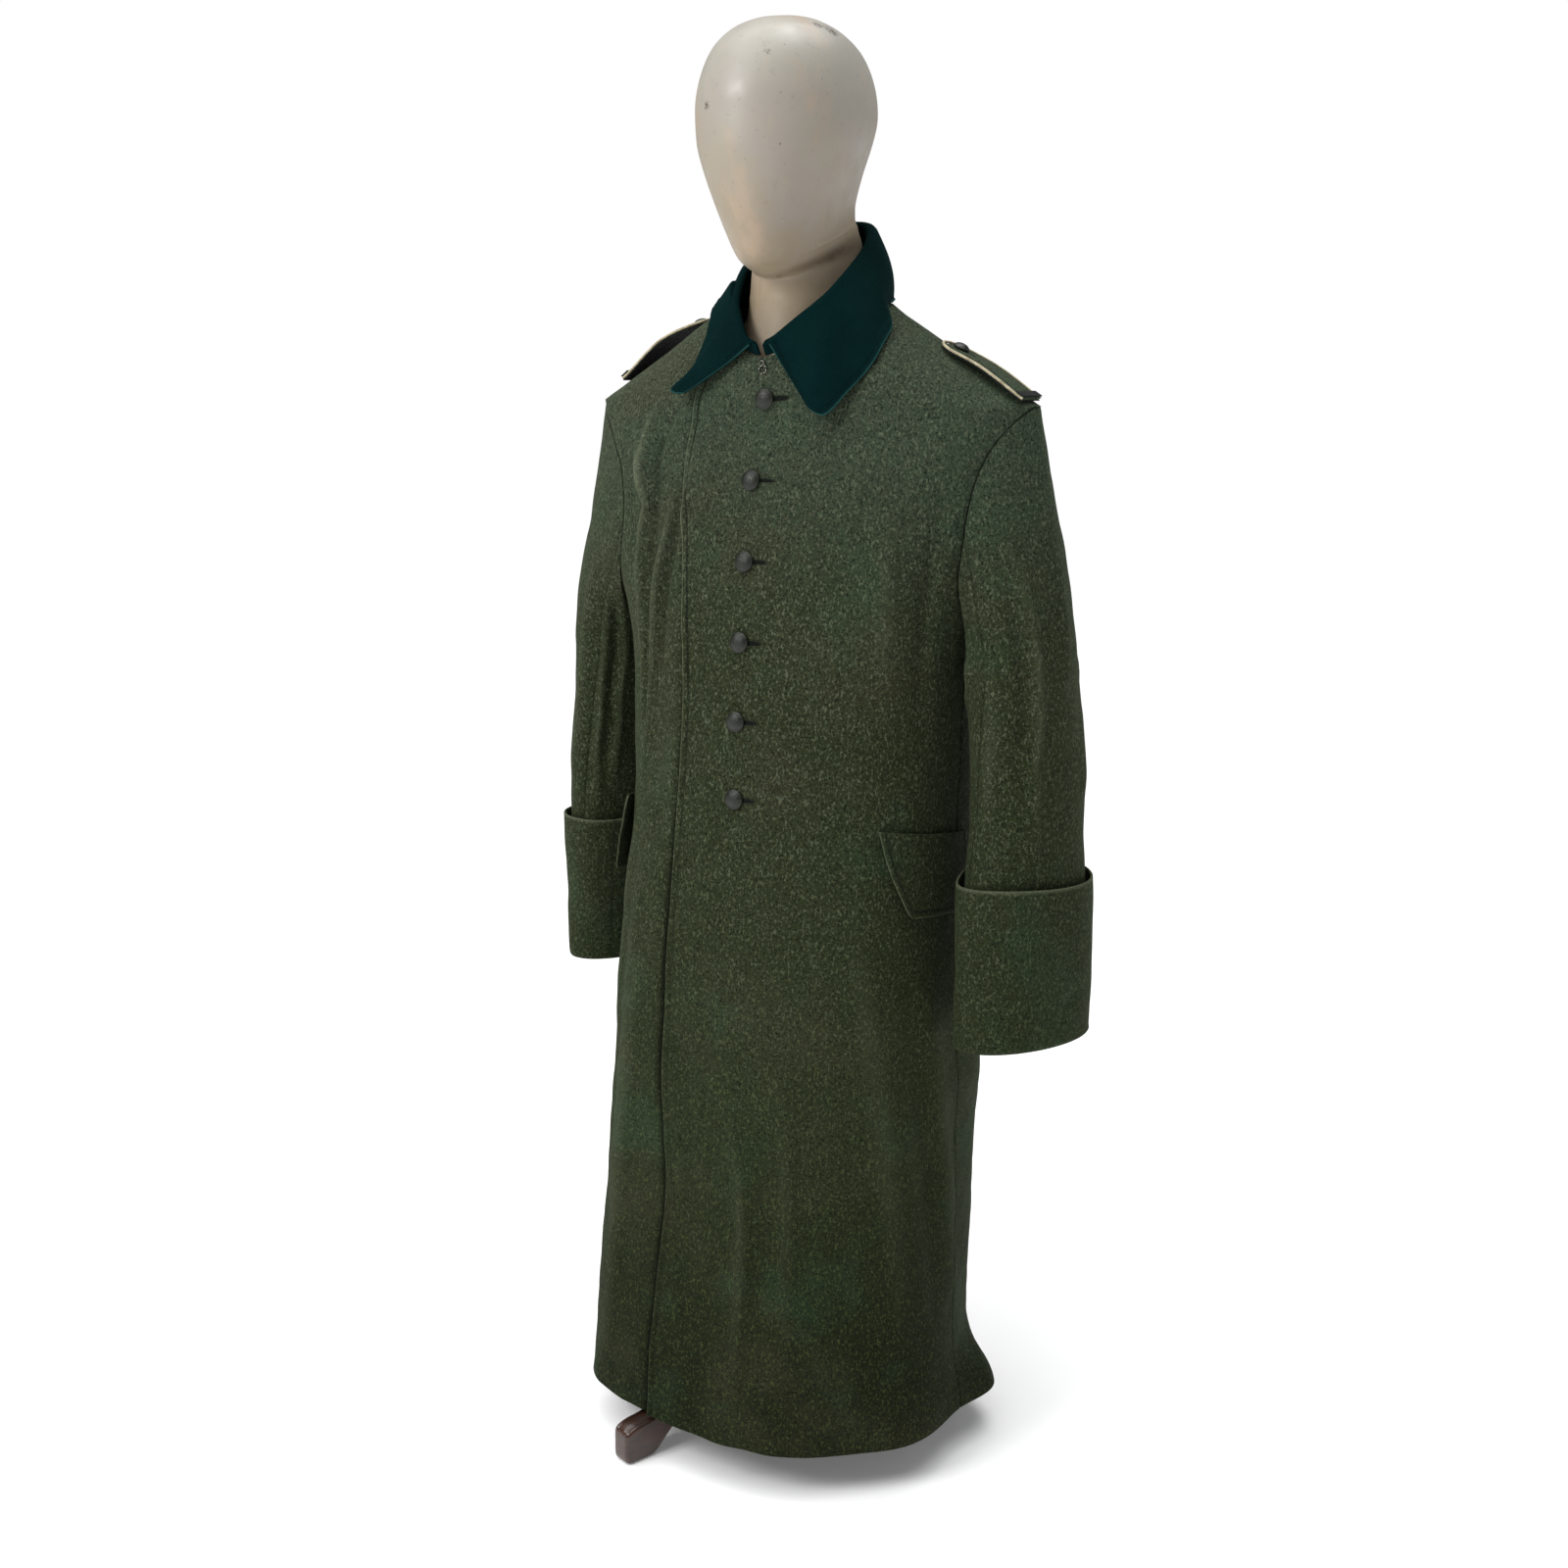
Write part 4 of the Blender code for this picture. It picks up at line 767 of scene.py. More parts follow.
def coat_panel(name, node, levels, turns, sink, finish, seams):
    """A cut piece of the coat's body. Its wall is square to a seam, so both pieces keep their gap there."""
    outer, normal = coat_surface(turns, levels)
    for end, axis in seams:
        on_seam = np.abs(np.abs(np.sin(turns[:, end])) - (1.0 if axis == 1 else 0.0)) < 1e-4
        normal[on_seam, end, axis] = 0.0
    normal = unit(normal)
    deep = outer - normal * sink["whole"][..., None]
    creased = crease_lift(body_point(turns, levels), BODY_LINES) * calm(levels)
    # Crease ridges paler as wear and painted highlight, troughs darker as painted shade; the edges' and seams' tint is
    # added.
    wear_and_shade = np.clip(creased / CREASE_TINT, -1.0, 1.0) * 0.55 + sink["wear_and_shade"]
    piece = cloth_wall(name, deep - normal * sink["outer"][..., None], deep - normal * CLOTH, finish, wear_and_shade)
    finish_with(piece, node)


def make_fronts(finish):
    levels = cloth_levels()
    left, right, left_sink, right_sink, right_deep, left_wear_and_shade, right_painted_shade = [], [], [], [], [], [], []
    for level in levels:
        edge = left_edge_turn(level)
        over, from_edge, from_side = cloth_turns(level, edge, side_edge(level, "left_front"), 66)
        left.append(over)
        puff = LAP_PUFF * bell(from_edge, LAP_PUFF_WIDTH)
        left_sink.append(near_edge(from_edge, True) + near_edge(from_side, False) - puff)
        # How strong the lap edge's pale wear and the painted shade of its stitch row are: weaker lower down.
        wear_and_painted_light = 0.50 + 0.50 * float(ease((level - 0.55) / 0.40))
        left_wear_and_shade.append(edge_tint(from_edge, True) * wear_and_painted_light + edge_tint(from_side, False))
        side, from_seam, from_lap = cloth_turns(level, -side_edge(level, "right_front"), edge, 44)
        side, from_seam, from_lap = side[:-4], from_seam[:-4], from_lap[:-4]
        under = np.linspace(side[-1], over[44], UNDER_COLUMNS + 1)[1:]
        right.append(np.concatenate([side, under]))
        right_sink.append(np.concatenate([near_edge(from_seam, False), np.zeros(UNDER_COLUMNS)]))
        # Painted shadow on the right front beside the lap's edge, wider lower down.
        dark = -1.2 * bell(from_lap, 0.0095 - 0.0050 * float(ease((level - 0.50) / 0.40)))
        # Painted shade along the side seam; the part hidden under the lap is painted fully dark as shade.
        right_painted_shade.append(np.concatenate([edge_tint(from_seam, False) + dark, np.full(UNDER_COLUMNS, -1.0)]))
        share = (side - side[0]) / (edge - side[0])
        dip = LAP_DIP / (CLOTH + LAP_GAP)
        shaped = ease(share * 1.12) + dip * bell(from_lap, LAP_DIP_WIDTH)
        right_deep.append(np.concatenate([shaped, np.full(UNDER_COLUMNS, 1.0 + dip)]))
    left, right = np.array(left), np.array(right)
    grid = np.repeat(levels[:, None], left.shape[1], 1)
    sinks = {"whole": np.zeros(left.shape), "outer": np.array(left_sink), "wear_and_shade": np.array(left_wear_and_shade)}
    coat_panel("cloth_front_left", "front_left", grid, left, sinks, finish, ((-1, 1),))
    grid = np.repeat(levels[:, None], right.shape[1], 1)
    sinks = {"whole": np.array(right_deep) * (CLOTH + LAP_GAP), "outer": np.array(right_sink)}
    sinks["wear_and_shade"] = np.array(right_painted_shade)
    coat_panel("cloth_front_right", "front_right", grid, right, sinks, finish, ((0, 1),))


def make_backs(finish):
    levels = cloth_levels()
    for hand, side in HANDS:
        turns, sinks, tints = [], [], []
        for level in levels:
            centre = math.pi - SEAM_GAP / 2 / body_value("back", level)
            across, from_side, from_centre = cloth_turns(level, side_edge(level, hand + "_back"), centre, 52)
            turns.append(side * across)
            sinks.append(near_edge(from_side, False) + near_edge(from_centre, False))
            # Painted shade along the side seam and the centre back seam.
            tints.append(edge_tint(from_side, False) + edge_tint(from_centre, False))
        turns = np.array(turns)
        grid = np.repeat(levels[:, None], turns.shape[1], 1)
        sink = {"whole": np.zeros(turns.shape), "outer": np.array(sinks), "wear_and_shade": np.array(tints)}
        name = "back_" + hand
        coat_panel("cloth_" + name, name, grid, turns, sink, finish, ((0, 1), (-1, 0)))


# ---- Sleeves and cuffs ----
def armhole_round(hand, side):
    """The whole armhole as levels and angles: shoulder, down the front, armpit, up the back."""
    levels, front = armhole_curve(hand + "_front")
    back = armhole_curve(hand + "_back")[1]
    return np.concatenate([levels[::-1], levels[1:-1]]), side * np.concatenate([front[::-1], back[1:-1]])


def round_angles(points):
    """An angle for each point of the armhole: 0 at the shoulder, half a turn at the armpit."""
    half = len(points) // 2
    steps = np.linalg.norm(np.roll(points, -1, 0) - points, axis=1)
    front = np.concatenate([[0.0], np.cumsum(steps[:half])])
    back = np.concatenate([[0.0], np.cumsum(steps[half:])])
    return np.concatenate([front / front[-1] * math.pi, math.pi + back[1:-1] / back[-1] * math.pi])


def sleeve_form(rows, hand, side):
    """A sleeve's outer and inner faces as rings from the armhole down, as for the left hand."""
    levels, turns = armhole_round(hand, side)
    spots, out = coat_surface(turns, levels)
    seam, body_out = mirrored(spots, side), mirrored(out, side)
    angles = round_angles(seam)
    below = sleeve_section(rows, SLEEVE_TOP_Z, angles)
    length = np.linalg.norm(below - seam, axis=1)[:, None]
    lean = [0.17 + 0.05 * np.cos(angles), -0.12 * np.sin(angles), np.full(len(angles), -0.97)]
    start = unit(unit(below - seam) + 0.35 * np.stack(lean, -1))
    first = seam + start * length * 0.36
    second = below + UP * length * 0.34
    rings = [seam]
    for t in np.linspace(0.0, 1.0, 34)[1:-1] ** 1.25:
        s = 1 - t
        rings.append(s**3 * seam + 3 * s * s * t * first + 3 * s * t * t * second + t**3 * below)
    for z in np.linspace(SLEEVE_TOP_Z, SLEEVE_END_Z, 46):
        rings.append(sleeve_section(rows, z, angles))
    grid = np.array(rings)
    normal = tube_normal(grid)
    along_seam = np.roll(seam, -1, 0) - np.roll(seam, 1, 0)
    away = unit(np.cross(along_seam, body_out))
    away = away * np.sign(np.sum(away * (seam.mean(0) - seam), -1, keepdims=True))
    facing = np.sum(normal[0] * away, -1, keepdims=True)
    turned = np.maximum(0.0, -np.sum(normal[0] * body_out, -1, keepdims=True))
    shift = 2 * SEAM_GAP + np.maximum(0.0, 1.2 * SLEEVE_CLOTH * facing)
    grid[0] = seam + away * shift + body_out * 3 * SEAM_GAP * turned
    lines = []
    for width, height, path in SLEEVE_CREASES[hand]:
        lines.append((width, height, on_sleeve(grid, angles, soft_line(path, 18))))
    creased = crease_lift(grid, lines) * ease(np.arange(len(grid)) / 8.0)[:, None]
    lift = uneven(grid) * ease(np.arange(len(grid)) / 8.0)[:, None] + creased
    # Crease ridges paler as wear and painted highlight, troughs darker as painted shade.
    wear_and_shade = np.clip(creased / CREASE_TINT, -1.0, 1.0) * 0.6
    # Painted shade in the armhole seam, a little paler just below it.
    wear_and_shade[:3] = np.array([-0.35, -0.1, 0.1])[:, None]
    lift *= 1.0 - ease((CUFF_TOP + 0.020 - grid[..., 2]) / 0.020)
    grid = grid + normal * lift[..., None]
    return grid, grid - normal * SLEEVE_CLOTH, angles, wear_and_shade


def on_sleeve(grid, angles, path):
    """Points on a sleeve's rings at these angles and heights."""
    spots = []
    for angle, z in path:
        c = int(np.argmin(np.abs(np.degrees(angles) - angle % 360.0)))
        heights = grid[:, c, 2]
        row = np.interp(-z, -heights[4:], np.arange(4, len(heights)))
        low = int(row)
        share = row - low
        spots.append(grid[low, c] * (1 - share) + grid[min(low + 1, len(grid) - 1), c] * share)
    return np.array(spots)


def make_sleeves(finish):
    shapes = {}
    for hand, side, rows in SLEEVES:
        outer, inner, angles, wear_and_shade = sleeve_form(rows, hand, side)
        shapes[hand] = (outer, angles)
        outer, inner = mirrored(outer, side), mirrored(inner, side)
        count = len(angles)
        front, back = (int(np.argmin(np.abs(np.degrees(angles) - seam))) for seam in SLEEVE_SEAMS[hand])
        top = [i % count for i in range(back, front + count + 1)]
        under = list(range(front, back + 1))
        for part, picks, flat, area in (("top", top, (0.30, 0.64), 0.150), ("under", under, (0.19, 0.52), 0.080)):
            out, into = outer[:, picks].copy(), inner[:, picks].copy()
            for end, beside in ((0, 1), (-1, -2)):
                pull = unit(out[:, beside] - out[:, end]) * SEAM_GAP / 2
                out[:, end] += pull
                into[:, end] += pull
                out[:, end] += (into[:, end] - out[:, end]) * 0.35
            node = f"sleeve_{part}_{hand}"
            tint = wear_and_shade[:, picks].copy()
            # Painted shade along the sleeve's seams.
            tint[:, [0, -1]] = -0.45
            piece = cloth_wall("cloth_" + node, out[::-1], into[::-1], finish, tint[::-1])
            finish_with(piece, node)
    return shapes


def cuff_loops(rows, hand, angles):
    """The cuff's section, corner by corner: turned up at the sleeve's end, standing off towards its top."""
    top_z = CUFF_TOP + 0.0025 * np.sin(2 * angles) - 0.002 * np.cos(angles)
    if hand == "left":
        top_z = top_z + 0.0050 * bell(np.degrees(angles) - 150.0, 16.0)
    fold_z = CUFF_BOTTOM + CUFF_CLOTH

    def loop(z, offset):
        level = np.mean(z)
        ring = sleeve_section(rows, float(np.clip(level, SLEEVE_END_Z, CUFF_TOP)), angles)
        along = np.roll(ring, -1, 0) - np.roll(ring, 1, 0)
        out = unit(np.stack([along[:, 1], -along[:, 0], np.zeros(len(angles))], -1))
        out = out * np.sign(np.sum(out * (ring - ring.mean(0)), -1, keepdims=True))
        ring = ring + out * offset
        ring[:, 2] = z
        return ring

    def standing(share):
        return 0.0030 + 0.0032 * share

    flat = np.ones(len(angles))
    shares = np.linspace(0.0, 1.0, 34)
    height = top_z - 0.0006 - (fold_z + 0.005)
    outside = [loop(fold_z + 0.005 + height * s, standing(s) + CUFF_CLOTH) for s in shares]
    inside = [loop(fold_z + 0.005 + height * s, standing(s)) for s in shares[::-1]]
    loops = [
        loop(CUFF_BOTTOM * flat + 0.0002, -SLEEVE_CLOTH),
        loop(CUFF_BOTTOM * flat, -0.0006),
        loop(CUFF_BOTTOM * flat, 0.0026),
        loop(CUFF_BOTTOM * flat + 0.0007, 0.0044),
        loop(CUFF_BOTTOM * flat + 0.0024, 0.0054),
        *outside,
        loop(top_z, standing(1.0) + CUFF_CLOTH * 0.78),
        loop(top_z + 0.0001, standing(1.0) + CUFF_CLOTH * 0.22),
        *inside,
        loop(fold_z * flat + 0.0014, 0.0026),
        loop(fold_z * flat, 0.0014),
        loop(fold_z * flat, -SLEEVE_CLOTH),
    ]
    return np.array(loops), slice(5, 5 + len(shares))


def make_cuffs(finish, shapes):
    """The turned-back cuffs, and the line that the stitches of each cuff's seam follow."""
    seams = []
    for hand, side, rows in SLEEVES:
        angles = shapes[hand][1]
        loops, outside = cuff_loops(rows, hand, angles)
        lines = []
        for width, height, path in CUFF_CREASES[hand]:
            spots = []
            for angle, z in soft_line(path, 14):
                c = int(np.argmin(np.abs(np.degrees(angles) - angle % 360.0)))
                r = int(np.argmin(np.abs(loops[outside][:, c, 2] - z)))
                spots.append(loops[outside][r, c])
            lines.append((width, height, np.array(spots)))
        out = unit(loops - loops.mean(1, keepdims=True)) * LEVEL
        lift = crease_lift(loops, lines) + 0.8 * uneven(loops) - 0.3 * np.abs(uneven(loops))
        beside = np.abs(np.degrees(angles) - CUFF_SEAM)
        lift[outside] -= 0.0009 * bell(beside, 1.6)
        keep = np.zeros(len(loops))
        keep[5:-3] = 1.0
        loops = loops + out * np.maximum(lift, -0.0042)[..., None] * keep[:, None, None]
        wear_and_shade = np.zeros(loops.shape[:2])
        creased = np.clip(crease_lift(loops[outside], lines) / 0.006, -1, 1) * 0.3
        # Painted shade in the cuff's seam; crease ridges paler as wear and painted highlight, troughs darker as painted
        # shade.
        wear_and_shade[outside] = -0.8 * bell(beside, 1.3) + creased
        last = outside.stop
        wear_and_shade[last - 1 : last + 2] = 0.5
        wear_and_shade[2:5] = 0.2
        piece = round_ring("cloth_cuff_" + hand, mirrored(loops, side), finish, wear_and_shade)
        finish_with(piece, "cuff_" + hand)
        c = int(np.argmin(beside))
        seams.append(mirrored(loops[outside][:, c] + out[outside][:, c] * 0.0003, side))
    return seams


# ---- Collar ----
COLLAR_START = 2.0
CORNER_STEPS = (0.0, 0.12, 0.3, 0.55, 0.9, 1.3, 1.8, 2.3, 2.65, 2.9, 3.15, 3.6, 4.3, 5.2, 6.4)
COLLAR_TURNS = np.concatenate([COLLAR_START + np.array(CORNER_STEPS), np.linspace(10.0, 180.0, 74)])
CORNER_TURN = 3.6
CORNER_SHARE = 0.10


def collar_section(turn, rows):
    """One section of the collar: up the stand, over the roll and down the fall."""
    base = body_point(math.radians(turn), NECKLINE)
    base = base - unit(base * LEVEL) * CLOTH / 2
    base[2] += COLLAR_CLOTH / 2 + 2 * SEAM_GAP
    fold = np.array([collar_value(rows, name, turn) for name in ("fold_x", "fold_y", "fold_z")])
    edge = np.array([collar_value(rows, name, turn) for name in ("edge_x", "edge_y", "edge_z")])
    out = unit((edge - fold) * LEVEL)
    tucked = float(ease((turn - 30.0) / 25.0))
    base = base - unit(base * LEVEL) * ((CLOTH + COLLAR_CLOTH) / 2 + SEAM_GAP) * tucked
    base[2] -= COLLAR_TUCK * tucked
    points = [base + (fold - base) * t for t in np.linspace(0.0, 0.92, 8)]
    for angle in np.linspace(180.0, 15.0, 10):
        a = math.radians(angle)
        lift = np.array([0.0, 0.0, COLLAR_ROLL * math.sin(a)])
        points.append(fold + out * COLLAR_ROLL * (1 + math.cos(a)) + lift)
    start = points[-1]
    droop = np.array([0.0, 0.0, -COLLAR_DROOP * max(0.0, 1.0 - turn / DROOP_TURN)])
    corner = min(1.0, (turn - COLLAR_START) / CORNER_TURN)
    reach = 1.0 - CORNER_SHARE * (1.0 - math.sqrt(max(0.0, 1.0 - (1.0 - corner) ** 2)))
    by_edge = np.array([0.105, 0.09, 0.078, 0.064, 0.048, 0.03, 0.014, 0.005, 0.0])
    shares = np.concatenate([np.linspace(0.0, 0.88, 22)[1:], 1.0 - by_edge])
    for t in shares * reach:
        points.append(start + (edge - start) * t + (out * COLLAR_BULGE + droop) * math.sin(math.pi * t))
    return np.array(points)


FALL = 17


def make_collar(finish):
    """The collar in one piece, its corners rounded, and the lines that its stitches follow."""
    left = [collar_section(turn, COLLAR_LEFT) for turn in COLLAR_TURNS]
    right = [mirrored(collar_section(turn, COLLAR_RIGHT), -1) for turn in COLLAR_TURNS[:-1]]
    middle = np.array(right + left[::-1])
    fall = middle[:, FALL:]
    middle[:, FALL:] = clear_of_body(fall.reshape(-1, 3), COLLAR_CLOTH / 2 + 7 * SEAM_GAP).reshape(fall.shape)
    normal = unit(np.cross(np.gradient(middle, axis=0), np.gradient(middle, axis=1)))
    steps = np.linalg.norm(np.diff(middle, axis=1), axis=-1)
    to_edge = np.concatenate([np.cumsum(steps[:, ::-1], 1)[:, ::-1], np.zeros((len(middle), 1))], 1)
    steps = np.linalg.norm(np.diff(middle, axis=0), axis=-1)
    from_right = np.concatenate([np.zeros((1, middle.shape[1])), np.cumsum(steps, 0)], 0)
    from_left = from_right[-1:] - from_right
    edge = np.minimum(np.minimum(to_edge, from_right), from_left)
    fading = ease((edge + 0.0005) / 0.0016)
    x, z = middle[..., 0], middle[..., 2]
    wave = 0.0006 * np.sin(x * 95.0 + z * 60.0) + 0.0005 * np.sin(x * 47.0 - 1.0)
    groove = 0.00035 * bell(edge - STITCH_IN, 0.0011)
    on_fall = np.zeros(middle.shape[:2])
    on_fall[:, FALL:] = 1.0
    sign = np.sign(np.sum(normal[:, -6:] * UP))
    normal = normal * (sign if sign else 1.0)
    half = COLLAR_CLOTH / 2
    thick = half * (0.55 + 0.45 * fading)
    top = middle + normal * (thick + (wave - groove) * on_fall)[..., None]
    under = middle - normal * (thick - np.minimum(wave, 0.0) * on_fall)[..., None]
    # Pale scuffed edge, with painted shade in the row of stitches.
    wear_and_shade = (0.55 * bell(edge, 0.0016) - 0.5 * bell(edge - STITCH_IN, 0.0013)) * on_fall
    piece = cloth_wall("cloth_collar", top, under, finish, wear_and_shade)
    finish_with(piece, "collar")
    lines = []
    line = []
    for c in range(len(middle)):
        gap = to_edge[c, FALL:]
        if min(from_right[c, -4], from_left[c, -4]) > STITCH_IN:
            share = np.interp(-STITCH_IN, -gap, np.arange(len(gap)))
            low = int(share)
            beyond = top[c, min(FALL + low + 1, top.shape[1] - 1)]
            spot = top[c, FALL + low] * (1 - share + low) + beyond * (share - low)
            line.append(spot + normal[c, FALL + low] * ON_CLOTH)
    lines.append(np.array(line))
    for reach, order in ((from_right, 1), (from_left, -1)):
        line = []
        for r in range(FALL + 1, middle.shape[1]):
            if to_edge[0 if order == 1 else -1, r] < STITCH_IN * 0.9:
                continue
            gap = reach[:, r][::order]
            share = float(np.interp(STITCH_IN, gap, np.arange(len(gap))))
            low = int(share)
            cols = top[::order]
            spot = cols[low, r] * (1 - share + low) + cols[low + 1, r] * (share - low)
            line.append(spot + normal[::order][low, r] * ON_CLOTH)
        lines.append(np.array(line))
    return lines


# ---- Pocket flaps ----
def make_flaps(finish):
    """The hip pocket flaps, on the coat's own surface, their front edges standing off."""
    low, high = FLAP_ROWS[1][0], FLAP_ROWS[0][0]
    steps = np.array([0.0, 0.0006, 0.0014, 0.0026, 0.0040, 0.0052, 0.0060, 0.0066, 0.0074, 0.0090])
    levels = np.concatenate([low + steps, np.linspace(low + 0.013, high - 0.003, 18), [high - 0.001, high]])
    lines = []
    for hand, side in HANDS:
        turns, lifts, sinks, tints = [], [], [], []
        for level in levels:
            start = math.radians(flap_value("front_turn", level))
            end = math.radians(flap_value("back_turn", level))
            round_in = 0.0045 * (1.0 - math.sqrt(max(0.0, 1.0 - (1.0 - min(1.0, (level - low) / 0.0045)) ** 2)))
            round_in -= 0.0032 * math.sin(math.pi * (level - low) / (high - low))
            across, from_front, from_back = cloth_turns(level, start + round_in / 0.17, end, 24)
            turns.append(side * across)
            share = from_front / from_front[-1]
            stand_off = FLAP_STAND * (1.0 - (level - low) / (high - low)) ** 0.5 + 0.0015
            lifts.append((flap_value("front_lift", level) + stand_off) * (1.0 - share) ** 3)
            edge = np.minimum(np.minimum(from_front, from_back), level - low)
            rolled = 0.0008 * bell(edge, 0.0014)
            sinks.append(rolled + 0.0004 * bell(edge - STITCH_IN, 0.001))
            # Pale scuffed edges, with painted shade in the row of stitches.
            tints.append(edge_tint(edge, True))
        turns = np.array(turns)
        along = (np.degrees(np.abs(turns)) - FLAP_ROWS[0][1]) / (FLAP_ROWS[0][2] - FLAP_ROWS[0][1])
        grid = levels[:, None] - FLAP_DROP * along
        base, normal = coat_surface(turns, grid)
        lift = (np.array(lifts) + 3 * SEAM_GAP)[..., None]
        outer = base + normal * (lift + CLOTH - np.array(sinks)[..., None])
        piece = cloth_wall("cloth_flap_" + hand, outer, base + normal * lift, finish, np.array(tints))
        finish_with(piece, "pocket_flap_" + hand)
        r = int(np.argmin(np.abs(levels - low - STITCH_IN)))
        c = int(np.argmin(np.abs(EDGE_STEPS - STITCH_IN)))
        lines.append(outer[r, c:] + normal[r, c:] * ON_CLOTH)
        lines.append(outer[r:, c] + normal[r:, c] * ON_CLOTH)
    return lines


# ---- Buttons, buttonholes, hook and eye ----
def dome(radius, height):
    """A pressed metal button's outline: crowned face, rolled rim, flat back."""
    return (
        (0.0, height),
        (radius * 0.20, height * 0.985),
        (radius * 0.42, height * 0.93),
        (radius * 0.62, height * 0.83),
        (radius * 0.78, height * 0.68),
        (radius * 0.885, height * 0.52),
        (radius * 0.925, height * 0.47),
        (radius * 0.965, height * 0.45),
        (radius * 0.995, height * 0.38),
        (radius, height * 0.29),
        (radius * 0.985, height * 0.20),
        (radius * 0.94, height * 0.12),
        (radius * 0.60, height * 0.03),
        (0.0, 0.0),
    )


def button_places():
    levels = np.linspace(0.7, NECKLINE, 400)
    heights = body_point(0.0, levels)[:, 2]
    places = []
    for number, off_x in enumerate(BUTTON_OFF_X):
        level = float(np.interp(BUTTON_TOP_Z - number * BUTTON_STEP, heights, levels))
        places.append((turn_at_x(level, off_x), level))
    return places


def make_buttons(metal, slit_shadow):
    """Six buttons, each with its worked buttonhole running out to the wearer's left."""
    holes = []
    for number, (turn, level) in enumerate(button_places()):
        spot, axis = coat_surface(turn, level)
        shape, place = dome(BUTTON_RADIUS, BUTTON_HEIGHT), spot + axis * SEAM_GAP
        button = lathe(f"metal_button_{number + 1}", shape, place, axis, metal)
        finish_with(button, f"front_button_{number + 1}")
        runs = np.linspace(SLIT_START, SLIT_END, 24)
        radius = float(np.linalg.norm(body_point(turn, level)[:2]))
        line, out = coat_surface(turn + runs / radius, np.full(len(runs), level))
        width = 0.0021 * np.sqrt(np.clip(1.0 - ((runs - 0.0135) / 0.0101) ** 2, 0.0, 1.0)) + 0.00005
        across = np.linspace(-1.0, 1.0, 7)
        grid = line[:, None] + UP * (across[None, :, None] * width[:, None, None])
        sunk = np.sqrt(np.clip(1.0 - across**2, 0.0, 1.0))
        top = grid + out[:, None] * (0.00022 + 0.00020 * sunk)[None, :, None]
        # A dark sheet in the buttonhole's slit, as painted shadow.
        slit = cloth_wall(f"buttonhole_slit_{number + 1}", top, grid - out[:, None] * 0.0006, slit_shadow)
        finish_with(slit)
        for way in (1.0, -1.0):
            holes.append(line + UP * (way * (width + 0.00055))[:, None] + out * ON_HOLE)
        ends = np.radians(np.linspace(-70.0, 70.0, 7))
        tip, normal = line[-1], out[-1]
        along = unit(line[-1] - line[-2])
        round_end = [tip + along * (0.0012 * math.cos(a) + 0.0002) + UP * 0.0016 * math.sin(a) for a in ends]
        holes.append(np.array(round_end) + normal * ON_HOLE)
    return holes


def make_hook(metal):
    path = soft_line([(x, front_y(z) - ahead - HOOK_RADIUS, z) for x, z, ahead in HOOK_ROWS], 30)
    finish_with(thread("wire_hook", path, HOOK_RADIUS, metal, 10), "collar_hook")
    ring = []
    for a in np.radians(np.linspace(100.0, 440.0, 34)):
        z = EYE_Z + EYE_RADIUS * math.sin(a)
        ring.append((EYE_X + EYE_RADIUS * math.cos(a), front_y(z) - HOOK_RADIUS - SEAM_GAP, z))
    finish_with(thread("wire_eye", ring, HOOK_RADIUS, metal, 10), "collar_eye")


# ---- Shoulder straps ----
def strap_line(side, count=60):
    """The strap's line along the ridge of the shoulder, with its upward direction."""
    levels = np.linspace(SHOULDER, NECKLINE, 300)
    ridge_x = half_width(levels)[::-1]
    ridge_z = levels[::-1]
    arch = STRAP_ARCH_LEFT if side > 0 else STRAP_ARCH_RIGHT
    s = np.linspace(0.0, 1.0, count)
    neck_x, outer_x = STRAP_X_LEFT if side > 0 else STRAP_X_RIGHT
    x = neck_x + (outer_x - neck_x) * s
    coarse = np.linspace(0.0, 1.0, 13)
    coarse_x = neck_x + (outer_x - neck_x) * coarse
    coarse_z = np.interp(coarse_x, ridge_x, ridge_z) + arch * np.sin(math.pi * coarse) ** 1.5
    line = np.stack([x, np.full(len(s), STRAP_Y), through(coarse, coarse_z, s)], -1)
    along = unit(np.gradient(line, axis=0))
    up = np.stack([-along[:, 2], np.zeros(len(s)), along[:, 0]], -1)
    return s, line, up


def strap_layer(side, half, low, thick, start, soft):
    """A flat layer of the strap, rounded at its neck end, its edges softened."""
    s, line, up = strap_line(side)
    keep = s >= start - 1e-6
    s, line, up = s[keep], line[keep], up[keep]
    run = (s - s[0]) * STRAP_LENGTH
    if start > 0.5:
        width = np.full(len(s), half)
    else:
        width = half * np.sqrt(1.0 - np.clip(1.0 - (run + 0.003) / half, 0.0, 1.0) ** 2)
    across = np.sin(np.linspace(-1.0, 1.0, 25) * math.pi / 2)
    base = line[:, None, :] + BACK * (across[None, :, None] * width[:, None, None])
    edge = np.minimum((1.0 - np.abs(across))[None, :] * width[:, None], np.maximum(run, 0.0)[:, None] + 0.0003)
    drop = thick * 0.35 * bell(edge, 0.0011) + soft * bell(edge - 0.0042, 0.0010)
    under = base + up[:, None, :] * low
    over = base + up[:, None, :] * (low + thick - drop)[..., None]
    return mirrored(over, side), mirrored(under, side)


